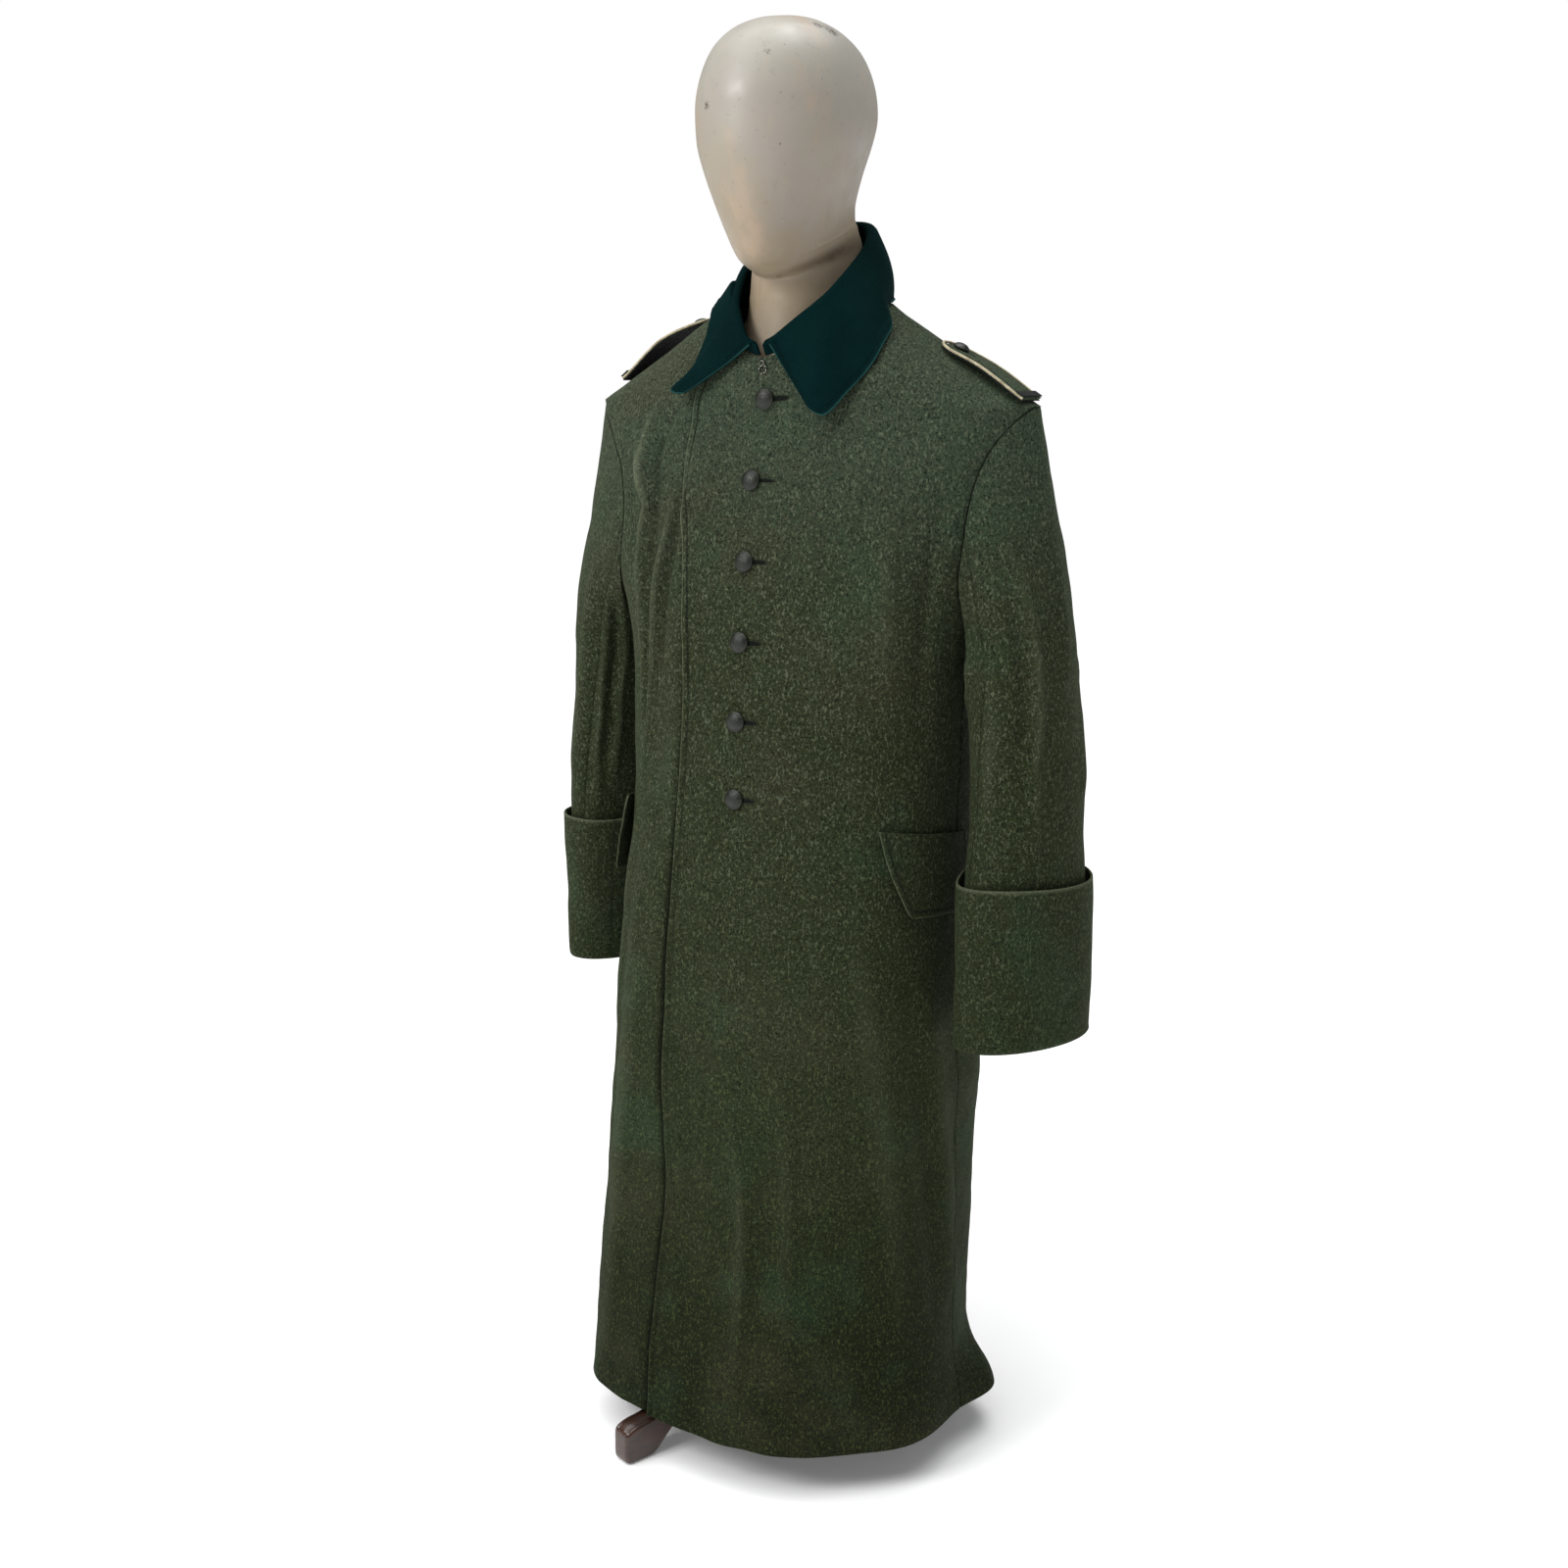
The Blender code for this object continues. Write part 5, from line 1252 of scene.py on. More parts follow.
def make_straps(wool, dark, metal, piping, slit_shadow):
    """Each strap: an underlay, piping round a wool top, a loop at the sleeve end, and its own button."""
    lines = []
    for hand, side in HANDS:
        low = 2 * SEAM_GAP
        over, under = strap_layer(side, STRAP_WIDTH / 2, low, UNDERLAY_CLOTH, 0.0, 0.0)
        piece = cloth_wall("cloth_strap_underlay_" + hand, over, under, dark)
        finish_with(piece, "strap_underlay_" + hand)
        low += UNDERLAY_CLOTH + SEAM_GAP
        half = STRAP_WIDTH / 2 - 2 * PIPING_RADIUS - SEAM_GAP - 0.0004
        over, under = strap_layer(side, half, low, STRAP_CLOTH, 0.0, 0.00035)
        piece = cloth_wall("cloth_strap_" + hand, over, under, wool)
        finish_with(piece, "strap_" + hand)
        s, line, up = strap_line(side, 13)
        middle = low + PIPING_RADIUS
        reach = half + SEAM_GAP + PIPING_RADIUS + 0.0002
        rim = line + up * middle
        runs = s * STRAP_LENGTH
        before = rim[0] - unit(rim[1] - rim[0]) * 0.010
        rim = np.concatenate([before[None], rim])
        runs = np.concatenate([[-0.010], runs])
        fine = np.linspace(half - 0.002, runs[-1], 50)
        route = [(run, -reach) for run in fine[::-1]]
        for a in np.radians(np.linspace(-90.0, 90.0, 41)):
            route.append((half - 0.003 - reach * math.cos(a), reach * math.sin(a)))
        route += [(run, reach) for run in fine]
        path = np.array([
            (side * float(through(runs, rim[:, 0], run)), STRAP_Y + y, float(through(runs, rim[:, 2], run)))
            for run, y in route
        ])
        finish_with(thread("piping_" + hand, path, PIPING_RADIUS, piping, 12), "strap_piping_" + hand)
        top = low + STRAP_CLOTH + SEAM_GAP
        over, under = strap_layer(side, STRAP_WIDTH / 2, top + 0.0004, UNDERLAY_CLOTH, 0.90, 0.0)
        piece = cloth_wall("cloth_strap_loop_" + hand, over, under, dark)
        finish_with(piece, "strap_loop_" + hand)
        spot = line[1] * 0.4 + line[2] * 0.6
        place = mirrored(spot + up[2] * (top + 0.0003), side)
        button = lathe("metal_strap_button_" + hand, dome(0.0085, 0.0055), place, mirrored(up[2], side), metal)
        finish_with(button, "strap_button_" + hand)
        s, line, up = strap_line(side, 80)
        lift = up * (low + STRAP_CLOTH + 0.0001)
        inside = half - 0.0042
        for way in (1.0, -1.0):
            edge = line + lift
            edge = edge[s > 0.16]
            edge[:, 1] += way * inside
            lines.append(mirrored(edge, side))
        hole = (s > 0.20) & (s < 0.32)
        spots = line[hole] + up[hole] * (low + STRAP_CLOTH + 0.00015)
        across = np.linspace(-0.0007, 0.0007, 3)
        grid = spots[:, None] + BACK * across[None, :, None]
        over, under = grid + up[hole][:, None] * 0.0001, grid - up[hole][:, None] * 0.0008
        # A dark sheet in the strap's buttonhole slit, as painted shadow.
        slit = cloth_wall("strap_slit_" + hand, mirrored(over, side), mirrored(under, side), slit_shadow)
        finish_with(slit)
    return lines


# ---- The form's head and neck ----
# The jaw: heights and how much of its rise each takes.
JAW = (
    (1.2480, 0.0),
    (1.2580, 0.62),
    (1.2645, 1.0),
    (1.2870, 0.92),
    (1.3120, 0.66),
    (1.3450, 0.36),
    (1.3850, 0.12),
    (1.4180, 0.0),
)
JAW_RISE = 0.082
JAW_STEP = 0.0030
CROWN_Y = -0.036
CROWN_Z = 1.5095
TORSO_TOP_Z = 1.2380


def neck_centre(front, back):
    """Where the neck's middle lies between its front and its back."""
    return 0.35 * front + 0.65 * back


def closed_tube(name, rings, ends, finish, wear_and_shade=None):
    """A tube from its rings, from the bottom up, closed by a fan to a middle point at each end."""
    rows, cols = rings.shape[:2]
    count = rows * cols
    points = rings.reshape(-1, 3)
    faces = list(outward(points, quads(rows, cols, round_tube=True)))
    first = np.arange(cols)
    faces += fan(first, count, turned_over=True) + fan(first + count - cols, count + 1)
    piece = new_piece(name, np.concatenate([points, ends]), faces, finish, wear_and_shade=wear_and_shade)
    face_out(piece)
    return piece


def make_head(finish):
    """A smooth faceless head. Its jaw's underside rises from the chin round to below the ears.

    Share is how much the jaw rises at each angle: nothing at the chin, most below the ear, less behind it."""
    columns = {name: column(HEAD_ROWS, HEAD_COLUMNS, name) for name in HEAD_COLUMNS}
    heights = np.array(columns["z"])
    marks = np.linspace(0.0, len(heights) - 1.0, 150)
    index = np.arange(len(heights))
    turns = np.radians(np.linspace(0.0, 360.0, 120, endpoint=False))
    away = np.degrees(np.abs((turns + math.pi) % (2 * math.pi) - math.pi))
    share = ((1.0 - np.cos(turns)) / 2) ** 0.85 * (1.0 - ease((away - 90.0) / 70.0))
    aside = np.abs(np.sin(turns)) * (share + 0.25) * (1.0 - ease((away - 70.0) / 35.0))
    fade = 1.0 - ease((away - 60.0) / 45.0)
    rings, tints = [], []
    for mark in marks:
        z, half, front, back = (float(through(index, columns[name], mark)) for name in HEAD_COLUMNS)
        blend = float(ease((z - 1.270) / 0.115))
        centre = neck_centre(front, back) * (1 - blend) + (front + back) / 2 * blend
        depth = np.where(np.cos(turns) > 0, centre - front, back - centre)
        rise = float(np.interp(z, [row[0] for row in JAW], [row[1] for row in JAW]))
        lip = bell(mark - 3.25, 0.45) - bell(mark - 2.15, 0.55)
        step = JAW_STEP * aside * lip
        across, along = (half + step) * np.sin(turns), centre - (depth + step) * np.cos(turns)
        z = z if mark > 0 else TORSO_TOP_Z - 0.0004
        rings.append(np.stack([across, along, z + JAW_RISE * rise * share], -1))
        # Painted shade under the jaw, strongest where the jaw rises.
        tints.append(-(0.35 + 0.65 * share / 0.6).clip(0, 1) * bell(mark - 2.45, 0.38) * fade)
    last = rings[-1]
    for left in (0.8, 0.6, 0.4, 0.2):
        ring = last * left + np.array([0.0, CROWN_Y, 0.0]) * (1 - left)
        ring[:, 2] = CROWN_Z - (CROWN_Z - last[:, 2]) * left**2
        rings.append(ring)
        tints.append(np.zeros(len(turns)))
    rings = np.array(rings)
    ends = [[0.0, -0.010, float(rings[0, 0, 2])], [0.0, CROWN_Y, CROWN_Z]]
    wear_and_shade = np.concatenate([np.array(tints).reshape(-1), [0.0, 0.0]])
    finish_with(closed_tube("head", rings, ends, finish, wear_and_shade), "form_head")


def make_torso(finish):
    """The form's body under the coat, drawn in smoothly to the neck."""
    levels = np.concatenate([np.linspace(0.600, 1.130, 60), np.linspace(1.134, 1.206, 30)])
    turns = np.radians(np.linspace(-180.0, 180.0, 96, endpoint=False))
    rings = []
    for level in levels:
        inset = float(looked_up(TORSO_ROWS, TORSO_COLUMNS, "inset", level)) + 0.0012
        grid = np.full(len(turns), level)
        lapped = inset + (CLOTH + LAP_GAP + LAP_DIP + 0.0012) * np.clip(2.5 * np.cos(turns), 0.0, 1.0)
        rings.append(body_point(turns, grid) - body_normal(turns, grid) * lapped[:, None])
    rings[0][:, 2] = TORSO_BOTTOM
    half, front, back = HEAD_ROWS[0][1:]
    centre = neck_centre(front, back)
    last = rings[-1]
    spots = np.arctan2(last[:, 0], -(last[:, 1] - centre))
    depth = np.where(np.cos(spots) > 0, centre - front, back - centre)
    top = np.stack([half * np.sin(spots), centre - depth * np.cos(spots), np.full(len(turns), TORSO_TOP_Z)], -1)
    for share in np.linspace(0.0, 1.0, 20)[1:]:
        ring = last + (top - last) * math.sin(share * math.pi / 2)
        ring[:, 2] = last[:, 2] + (top[:, 2] - last[:, 2]) * (1.0 - math.cos(share * math.pi / 2)) ** 0.9
        rings.append(ring)
    ends = [rings[0].mean(0), rings[-1].mean(0)]
    finish_with(closed_tube("torso", np.array(rings), ends, finish), "form_torso")


# ---- The stand ----
def leg_outline():
    """The leg's side, with even steps along its smooth stretches and its corners kept."""
    points = np.array(LEG_OUTLINE)
    closed = np.concatenate([points, points[:1]])
    line = []
    for start, end in zip(closed[:-1], closed[1:]):
        count = max(2, int(np.linalg.norm(end - start) / 0.003))
        line += [start + (end - start) * i / count for i in range(count)]
    line = np.array(line)
    for _ in range(5):
        line = (np.roll(line, 1, 0) + 2 * line + np.roll(line, -1, 0)) / 4
    return line


def face_out(piece):
    """Turns every face of a closed piece outwards."""
    mesh = bmesh.new()
    mesh.from_mesh(piece.data)
    bmesh.ops.recalc_face_normals(mesh, faces=mesh.faces)
    mesh.to_mesh(piece.data)
    mesh.free()


def make_legs(finish):
    """Three turned-out feet: rounded along the top, with two moulded beads beside each edge."""
    line = leg_outline()
    ways = unit(np.roll(line, -1, 0) - np.roll(line, 1, 0))
    inward = np.stack([-ways[:, 1], ways[:, 0]], -1)
    middle = line.mean(0)
    if np.sum(inward * (middle - line)) < 0:
        inward = -inward
    half = LEG_THICK / 2
    across = np.array([-1.0, -0.985, -0.94, -0.87, -0.78, -0.72, -0.66, -0.60, -0.54, -0.46, -0.36, -0.2, 0.0])
    across = np.concatenate([across, -across[-2::-1]])
    near_top = ease((line[:, 1] - 0.030) / 0.012) * ease((line[:, 0] - 0.052) / 0.015)
    from_middle = np.abs(across)
    rounded = 0.0050 * (1.0 - np.sqrt(np.clip(1.0 - ((from_middle - 0.55) / 0.45).clip(0.0, 1.0) ** 2, 0.0, 1.0)))
    bead = 0.0016 * sum(bell(from_middle - place, 0.055) for place in (0.70, 0.44))
    sunk = rounded[None, :] + bead[None, :] * near_top[:, None]
    grid = line[:, None, :] + inward[:, None, :] * sunk[..., None]
    for number, turn in enumerate(LEG_TURNS):
        a = math.radians(turn)
        way = np.array([math.cos(a), math.sin(a), 0.0])
        side = np.array([-math.sin(a), math.cos(a), 0.0])
        spots = grid[..., :1] * way + grid[..., 1:] * UP + (across * half)[None, :, None] * side
        spots = spots + np.array([STAND_X, STAND_Y, 0.0])
        spots[..., 2] = np.maximum(spots[..., 2], 0.0)
        rows, cols = spots.shape[:2]
        rings = np.swapaxes(spots, 0, 1)
        faces = [tuple(face) for face in quads(cols, rows, round_tube=True)]
        faces.append(tuple(range(rows)))
        faces.append(tuple(range((cols - 1) * rows, cols * rows)))
        leg = new_piece(f"wood_leg_{number + 1}", rings.reshape(-1, 3), faces, finish)
        face_out(leg)
        finish_with(leg, f"stand_leg_{number + 1}")


# ---- Stitches: one Geometry Nodes tree, laid along every line ----
STITCH = (0.0040, 0.0030, 0.0007)


def stitch_tree():
    tree = bpy.data.node_groups.new("Stitches", "GeometryNodeTree")
    tree.interface.new_socket("Geometry", in_out="INPUT", socket_type="NodeSocketGeometry")
    for name, value in zip(("Stitch step", "Stitch length", "Thread width"), STITCH):
        socket = tree.interface.new_socket(name, in_out="INPUT", socket_type="NodeSocketFloat")
        socket.default_value = value
    tree.interface.new_socket("Thread", in_out="INPUT", socket_type="NodeSocketMaterial")
    tree.interface.new_socket("Geometry", in_out="OUTPUT", socket_type="NodeSocketGeometry")
    add = tree.nodes.new
    given, out = add("NodeGroupInput"), add("NodeGroupOutput")
    curve, even = add("GeometryNodeMeshToCurve"), add("GeometryNodeResampleCurve")
    even.mode = "LENGTH"
    lay, way = add("GeometryNodeInstanceOnPoints"), add("GeometryNodeInputTangent")
    turn = add("FunctionNodeAlignRotationToVector")
    turn.axis = "Z"
    ball, size = add("GeometryNodeMeshUVSphere"), add("GeometryNodeTransform")
    ball.inputs["Segments"].default_value = 6
    ball.inputs["Rings"].default_value = 5
    ball.inputs["Radius"].default_value = 0.5
    scale, real = add("ShaderNodeCombineXYZ"), add("GeometryNodeRealizeInstances")
    dress = add("GeometryNodeSetMaterial")
    for start, gives, end, takes in (
        (given, "Geometry", curve, "Mesh"),
        (curve, "Curve", even, "Curve"),
        (given, "Stitch step", even, "Length"),
        (even, "Curve", lay, "Points"),
        (way, "Tangent", turn, "Vector"),
        (turn, "Rotation", lay, "Rotation"),
        (given, "Thread width", scale, "X"),
        (given, "Thread width", scale, "Y"),
        (given, "Stitch length", scale, "Z"),
        (ball, "Mesh", size, "Geometry"),
        (scale, "Vector", size, "Scale"),
        (size, "Geometry", lay, "Instance"),
        (lay, "Instances", real, "Geometry"),
        (real, "Geometry", dress, "Geometry"),
        (given, "Thread", dress, "Material"),
        (dress, "Geometry", out, "Geometry"),
    ):
        tree.links.new(start.outputs[gives], end.inputs[takes])
    return tree


def stitches(name, tree, lines, finish, sizes=STITCH):
    """Sews a row of stitches along each line. The sizes are the step, the length and the thread's width."""
    points, edges = [], []
    for line in lines:
        start = len(points)
        points += (np.asarray(line) + MIDDLE).tolist()
        edges += [(start + i, start + i + 1) for i in range(len(line) - 1)]
    data = bpy.data.meshes.new(name + "_lines")
    data.from_pydata(points, edges, [])
    piece = placed(name, data)
    sewing = piece.modifiers.new("Sewing", "NODES")
    sewing.node_group = tree
    sockets = {item.name: item.identifier for item in tree.interface.items_tree if item.in_out == "INPUT"}
    for socket, size in zip(("Stitch step", "Stitch length", "Thread width"), sizes):
        sewing[sockets[socket]] = size
    sewing[sockets["Thread"]] = finish
    graph = bpy.context.evaluated_depsgraph_get()
    sewn = bpy.data.meshes.new_from_object(piece.evaluated_get(graph))
    piece.modifiers.clear()
    piece.data = sewn
    sewn.name = name
    sewn.polygons.foreach_set("use_smooth", [True] * len(sewn.polygons))
    bpy.data.meshes.remove(data)
    finish_with(piece)


# ---- Finishes ----
def srgb(red, green, blue):
    """A colour as read off a screen, 0 to 255, as the shader takes it."""
    made = [((v / 255 + 0.055) / 1.055) ** 2.4 if v > 10.3 else v / 255 / 12.92 for v in (red, green, blue)]
    return (*made, 1.0)


class Finish:
    """A material and short ways to add its nodes."""

    def __init__(self, name):
        self.made = bpy.data.materials.new(name)
        self.made.use_nodes = True
        self.tree = self.made.node_tree
        self.shader = self.tree.nodes["Principled BSDF"]
        self.place = self.add("ShaderNodeTexCoord").outputs["Object"]

    def add(self, kind, **settings):
        node = self.tree.nodes.new(kind)
        for name, value in settings.items():
            setattr(node, name, value)
        return node

    def link(self, start, end):
        self.tree.links.new(start, end)

    def noise(self, scale, detail=2.0, rough=0.5, stretch=None, seed=0.0):
        place = self.place
        if stretch or seed:
            mapping = self.add("ShaderNodeMapping")
            mapping.inputs["Scale"].default_value = stretch or (1.0, 1.0, 1.0)
            mapping.inputs["Location"].default_value = (seed, seed * 0.7, seed * 1.3)
            self.link(place, mapping.inputs["Vector"])
            place = mapping.outputs["Vector"]
        node = self.add("ShaderNodeTexNoise")
        node.inputs["Scale"].default_value = scale
        node.inputs["Detail"].default_value = detail
        node.inputs["Roughness"].default_value = rough
        self.link(place, node.inputs["Vector"])
        return node.outputs["Fac"]

    def ramp(self, value, low, high, start=0.0, end=1.0):
        node = self.add("ShaderNodeMapRange", clamp=True)
        node.interpolation_type = "SMOOTHSTEP"
        for name, number in (("From Min", low), ("From Max", high), ("To Min", start), ("To Max", end)):
            node.inputs[name].default_value = number
        self.link(value, node.inputs["Value"])
        return node.outputs["Result"]

    def mix(self, share, first, second, way="MIX"):
        node = self.add("ShaderNodeMix", data_type="RGBA", blend_type=way)
        for socket, value in ((node.inputs["Factor"], share), (node.inputs["A"], first), (node.inputs["B"], second)):
            self.feed(socket, value)
        return node.outputs["Result"]

    def math(self, way, first, second):
        node = self.add("ShaderNodeMath", operation=way)
        self.feed(node.inputs[0], first)
        self.feed(node.inputs[1], second)
        return node.outputs["Value"]

    def feed(self, socket, value):
        if isinstance(value, bpy.types.NodeSocket):
            self.link(value, socket)
        else:
            socket.default_value = value

    def height(self):
        split = self.add("ShaderNodeSeparateXYZ")
        self.link(self.place, split.inputs["Vector"])
        return split.outputs["Z"]

    def spot(self, centre, radius):
        """One at the centre, nothing beyond the radius."""
        node = self.add("ShaderNodeVectorMath", operation="DISTANCE")
        node.inputs[1].default_value = centre
        self.link(self.place, node.inputs[0])
        return self.ramp(node.outputs["Value"], radius * 0.35, radius, 1.0, 0.0)

    def bump(self, height, strength, distance, under=None):
        node = self.add("ShaderNodeBump")
        node.inputs["Strength"].default_value = strength
        node.inputs["Distance"].default_value = distance
        self.link(height, node.inputs["Height"])
        if under:
            self.link(under, node.inputs["Normal"])
        return node.outputs["Normal"]

    def patch(self, base, colour, band, *noise, **more):
        """Another colour over the base where a noise is in this band: from, to, and the shares there."""
        return self.mix(self.ramp(self.noise(*noise, **more), *band), base, srgb(*colour))

    def rough(self, low, high, *noise, **more):
        """A roughness that a noise varies between two values."""
        return self.ramp(self.noise(*noise, **more), 0.3, 0.7, low, high)

    def wear_and_shade(self):
        return self.add("ShaderNodeAttribute", attribute_name="wear_and_shade").outputs["Fac"]

    def set(self, **values):
        for name, value in values.items():
            self.feed(self.shader.inputs[name.replace("_", " ")], value)


def wool_finish():
    """Heathered, fulled wool: green and brown patches, pale and dark fibres, a soft nap, painted shade towards the hem,
    and painted highlights and shade from the mesh's tint.
    """
    f = Finish("field_grey_wool")
    z = f.height()
    # Painted shade: darker towards the hem, lighter over the shoulders as if lit from above.
    base = f.mix(f.ramp(z, 0.02, 0.46), srgb(16, 22, 6), srgb(37, 45, 25))
    base = f.mix(f.ramp(z, 0.86, 1.15), base, srgb(53, 63, 50))
    brown = f.mix(0.60, base, srgb(54, 51, 36))
    base = f.mix(f.ramp(f.noise(6.5, 3.0, 0.6), 0.48, 0.68, 0.0, 0.75), base, brown)
    green = f.mix(0.40, base, srgb(48, 74, 54))
    base = f.mix(f.ramp(f.noise(9.0, 3.0, 0.6, seed=3.1), 0.50, 0.70, 0.0, 0.6), base, green)
    base = f.patch(base, (30, 36, 28), (0.36, 0.64, 0.0, 0.22), 110.0, 3.0, 0.62, seed=5.0)
    dark = f.ramp(f.noise(460.0, 3.0, 0.70, seed=1.7), 0.52, 0.38, 0.0, 0.85)
    base = f.mix(dark, base, srgb(9, 13, 7))
    pale = f.ramp(f.noise(420.0, 3.0, 0.72, (1.0, 1.0, 0.6), 2.3), 0.52, 0.66, 0.0, 0.60)
    # Pale fibres darker and yellower lower down, as painted shade.
    fibre = f.mix(f.ramp(z, 0.10, 0.95), srgb(66, 76, 42), srgb(96, 104, 84))
    base = f.mix(pale, base, fibre)
    tan = f.ramp(f.noise(620.0, 2.0, 0.6, (0.6, 1.0, 1.0), 8.3), 0.56, 0.70, 0.0, 0.40)
    # Tan fibres darker lower down, as painted shade.
    base = f.mix(tan, base, f.mix(f.ramp(z, 0.10, 0.95), srgb(56, 52, 30), srgb(88, 82, 60)))
    # Pale where edges are scuffed and where crease ridges carry a painted highlight; near black where shade is painted
    # in seams, stitch rows, troughs and at the lap.
    wear_and_shade = f.wear_and_shade()
    uneven_pale = f.ramp(f.noise(420.0, 3.0, seed=6.0), 0.25, 0.60, 0.45, 1.0)
    wear_and_painted_light = f.math("MULTIPLY", f.ramp(wear_and_shade, 0.05, 0.9, 0.0, 0.85), uneven_pale)
    base = f.mix(wear_and_painted_light, base, srgb(104, 109, 88))
    base = f.mix(f.ramp(wear_and_shade, -0.05, -0.9, 0.0, 0.88), base, srgb(5, 8, 4))
    nap = f.bump(f.noise(760.0, 4.0, 0.7), 0.50, 0.0008)
    f.set(Normal=f.bump(f.noise(170.0, 3.0, 0.6, seed=4.0), 0.25, 0.0010, nap))
    f.set(Base_Color=base, Roughness=f.rough(0.82, 0.96, 300.0), Specular_IOR_Level=0.08)
    f.set(Sheen_Weight=0.07, Sheen_Roughness=0.45, Sheen_Tint=srgb(140, 160, 120))
    return f.made


def collar_finish():
    """Smooth dark bottle-green badge cloth with a fine, even nap."""
    f = Finish("bottle_green_cloth")
    base = f.mix(f.ramp(f.noise(14.0, 3.0), 0.35, 0.7), srgb(2, 22, 23), srgb(4, 28, 28))
    base = f.patch(base, (14, 46, 45), (0.55, 0.75, 0.0, 0.45), 700.0, 3.0, 0.65)
    wear_and_shade = f.wear_and_shade()
    # Pale where edges are scuffed; painted shade in the rows of stitches.
    base = f.mix(f.ramp(wear_and_shade, 0.05, 0.6, 0.0, 0.6), base, srgb(44, 84, 80))
    base = f.mix(f.ramp(wear_and_shade, -0.05, -0.5, 0.0, 0.7), base, srgb(0, 10, 12))
    base = f.patch(base, (2, 18, 20), (0.42, 0.28, 0.0, 0.6), 600.0, 3.0, 0.65, seed=2.0)
    f.set(Normal=f.bump(f.noise(900.0, 3.0, 0.6), 0.35, 0.0005))
    f.set(Base_Color=base, Roughness=f.rough(0.86, 0.98, 260.0), Specular_IOR_Level=0.03)
    f.set(Sheen_Weight=0.04, Sheen_Roughness=0.35, Sheen_Tint=srgb(20, 130, 120))
    return f.made


def underlay_finish():
    f = Finish("dark_strap_cloth")
    base = f.mix(f.ramp(f.noise(60.0, 3.0), 0.35, 0.65), srgb(12, 17, 14), srgb(22, 28, 23))
    base = f.patch(base, (54, 60, 50), (0.58, 0.72, 0.0, 0.6), 800.0, 2.0)
    f.set(Normal=f.bump(f.noise(800.0, 3.0), 0.5, 0.0006))
    f.set(Base_Color=base, Roughness=f.rough(0.82, 0.95, 200.0), Sheen_Weight=0.03, Specular_IOR_Level=0.10)
    return f.made


def piping_finish():
    """Cream corded piping, a little soiled."""
    f = Finish("cream_piping")
    base = f.mix(f.ramp(f.noise(70.0, 4.0), 0.35, 0.7), srgb(196, 186, 156), srgb(140, 128, 98))
    wave = f.add("ShaderNodeTexWave", bands_direction="DIAGONAL")
    wave.inputs["Scale"].default_value = 420.0
    wave.inputs["Distortion"].default_value = 1.2
    f.link(f.place, wave.inputs["Vector"])
    # Painted shade in the grooves of the twist.
    base = f.mix(f.ramp(wave.outputs["Fac"], 0.0, 0.5, 0.35, 0.0), base, srgb(96, 86, 62))
    f.set(Normal=f.bump(wave.outputs["Fac"], 0.6, 0.0005))
    f.set(Base_Color=base, Roughness=f.rough(0.7, 0.9, 300.0), Sheen_Weight=0.1)
    return f.made


def button_finish():
    """Pressed metal with a grained face, painted field grey, scuffed bright on its high spots."""
    f = Finish("painted_button_metal")
    grain = f.noise(1500.0, 2.0, 0.5)
    base = f.mix(f.ramp(f.noise(170.0, 3.0), 0.35, 0.7), srgb(13, 16, 7), srgb(23, 27, 14))
    wear_and_shade = f.ramp(f.noise(420.0, 4.0, 0.7, seed=6.0), 0.63, 0.74, 0.0, 0.55)
    base = f.mix(wear_and_shade, base, srgb(84, 84, 66))
    f.set(Normal=f.bump(grain, 0.55, 0.0006))
    f.set(Base_Color=base, Roughness=f.rough(0.26, 0.46, 350.0, 3.0))
    f.set(Specular_IOR_Level=0.42, Metallic=f.ramp(wear_and_shade, 0.0, 1.0, 0.05, 0.6))
    return f.made


def hook_finish():
    f = Finish("blackened_wire")
    base = f.mix(f.ramp(f.noise(500.0, 3.0), 0.45, 0.65), srgb(44, 44, 42), srgb(150, 148, 138))
    f.set(Normal=f.bump(f.noise(900.0, 2.0), 0.3, 0.0003))
    f.set(Base_Color=base, Roughness=f.rough(0.25, 0.5, 600.0), Metallic=0.9)
    return f.made


SPECKS = (
    (0.0300, -0.1180, 1.4650, 0.0065),
    (-0.0555, -0.0970, 1.4050, 0.0060),
    (-0.0330, -0.1290, 1.4170, 0.0065),
    (-0.0350, -0.1310, 1.4070, 0.0045),
    (0.0420, -0.1080, 1.4270, 0.0045),
    (-0.0260, -0.1090, 1.3380, 0.0045),
    (0.0080, -0.0560, 1.2630, 0.0050),
    (0.0100, -0.1170, 1.3600, 0.0040),
    (0.0560, -0.0400, 1.4920, 0.0110),
    (0.0480, -0.0520, 1.4960, 0.0080),
    (-0.0200, -0.1180, 1.3120, 0.0050),
    (-0.0420, -0.0900, 1.4560, 0.0050),
)


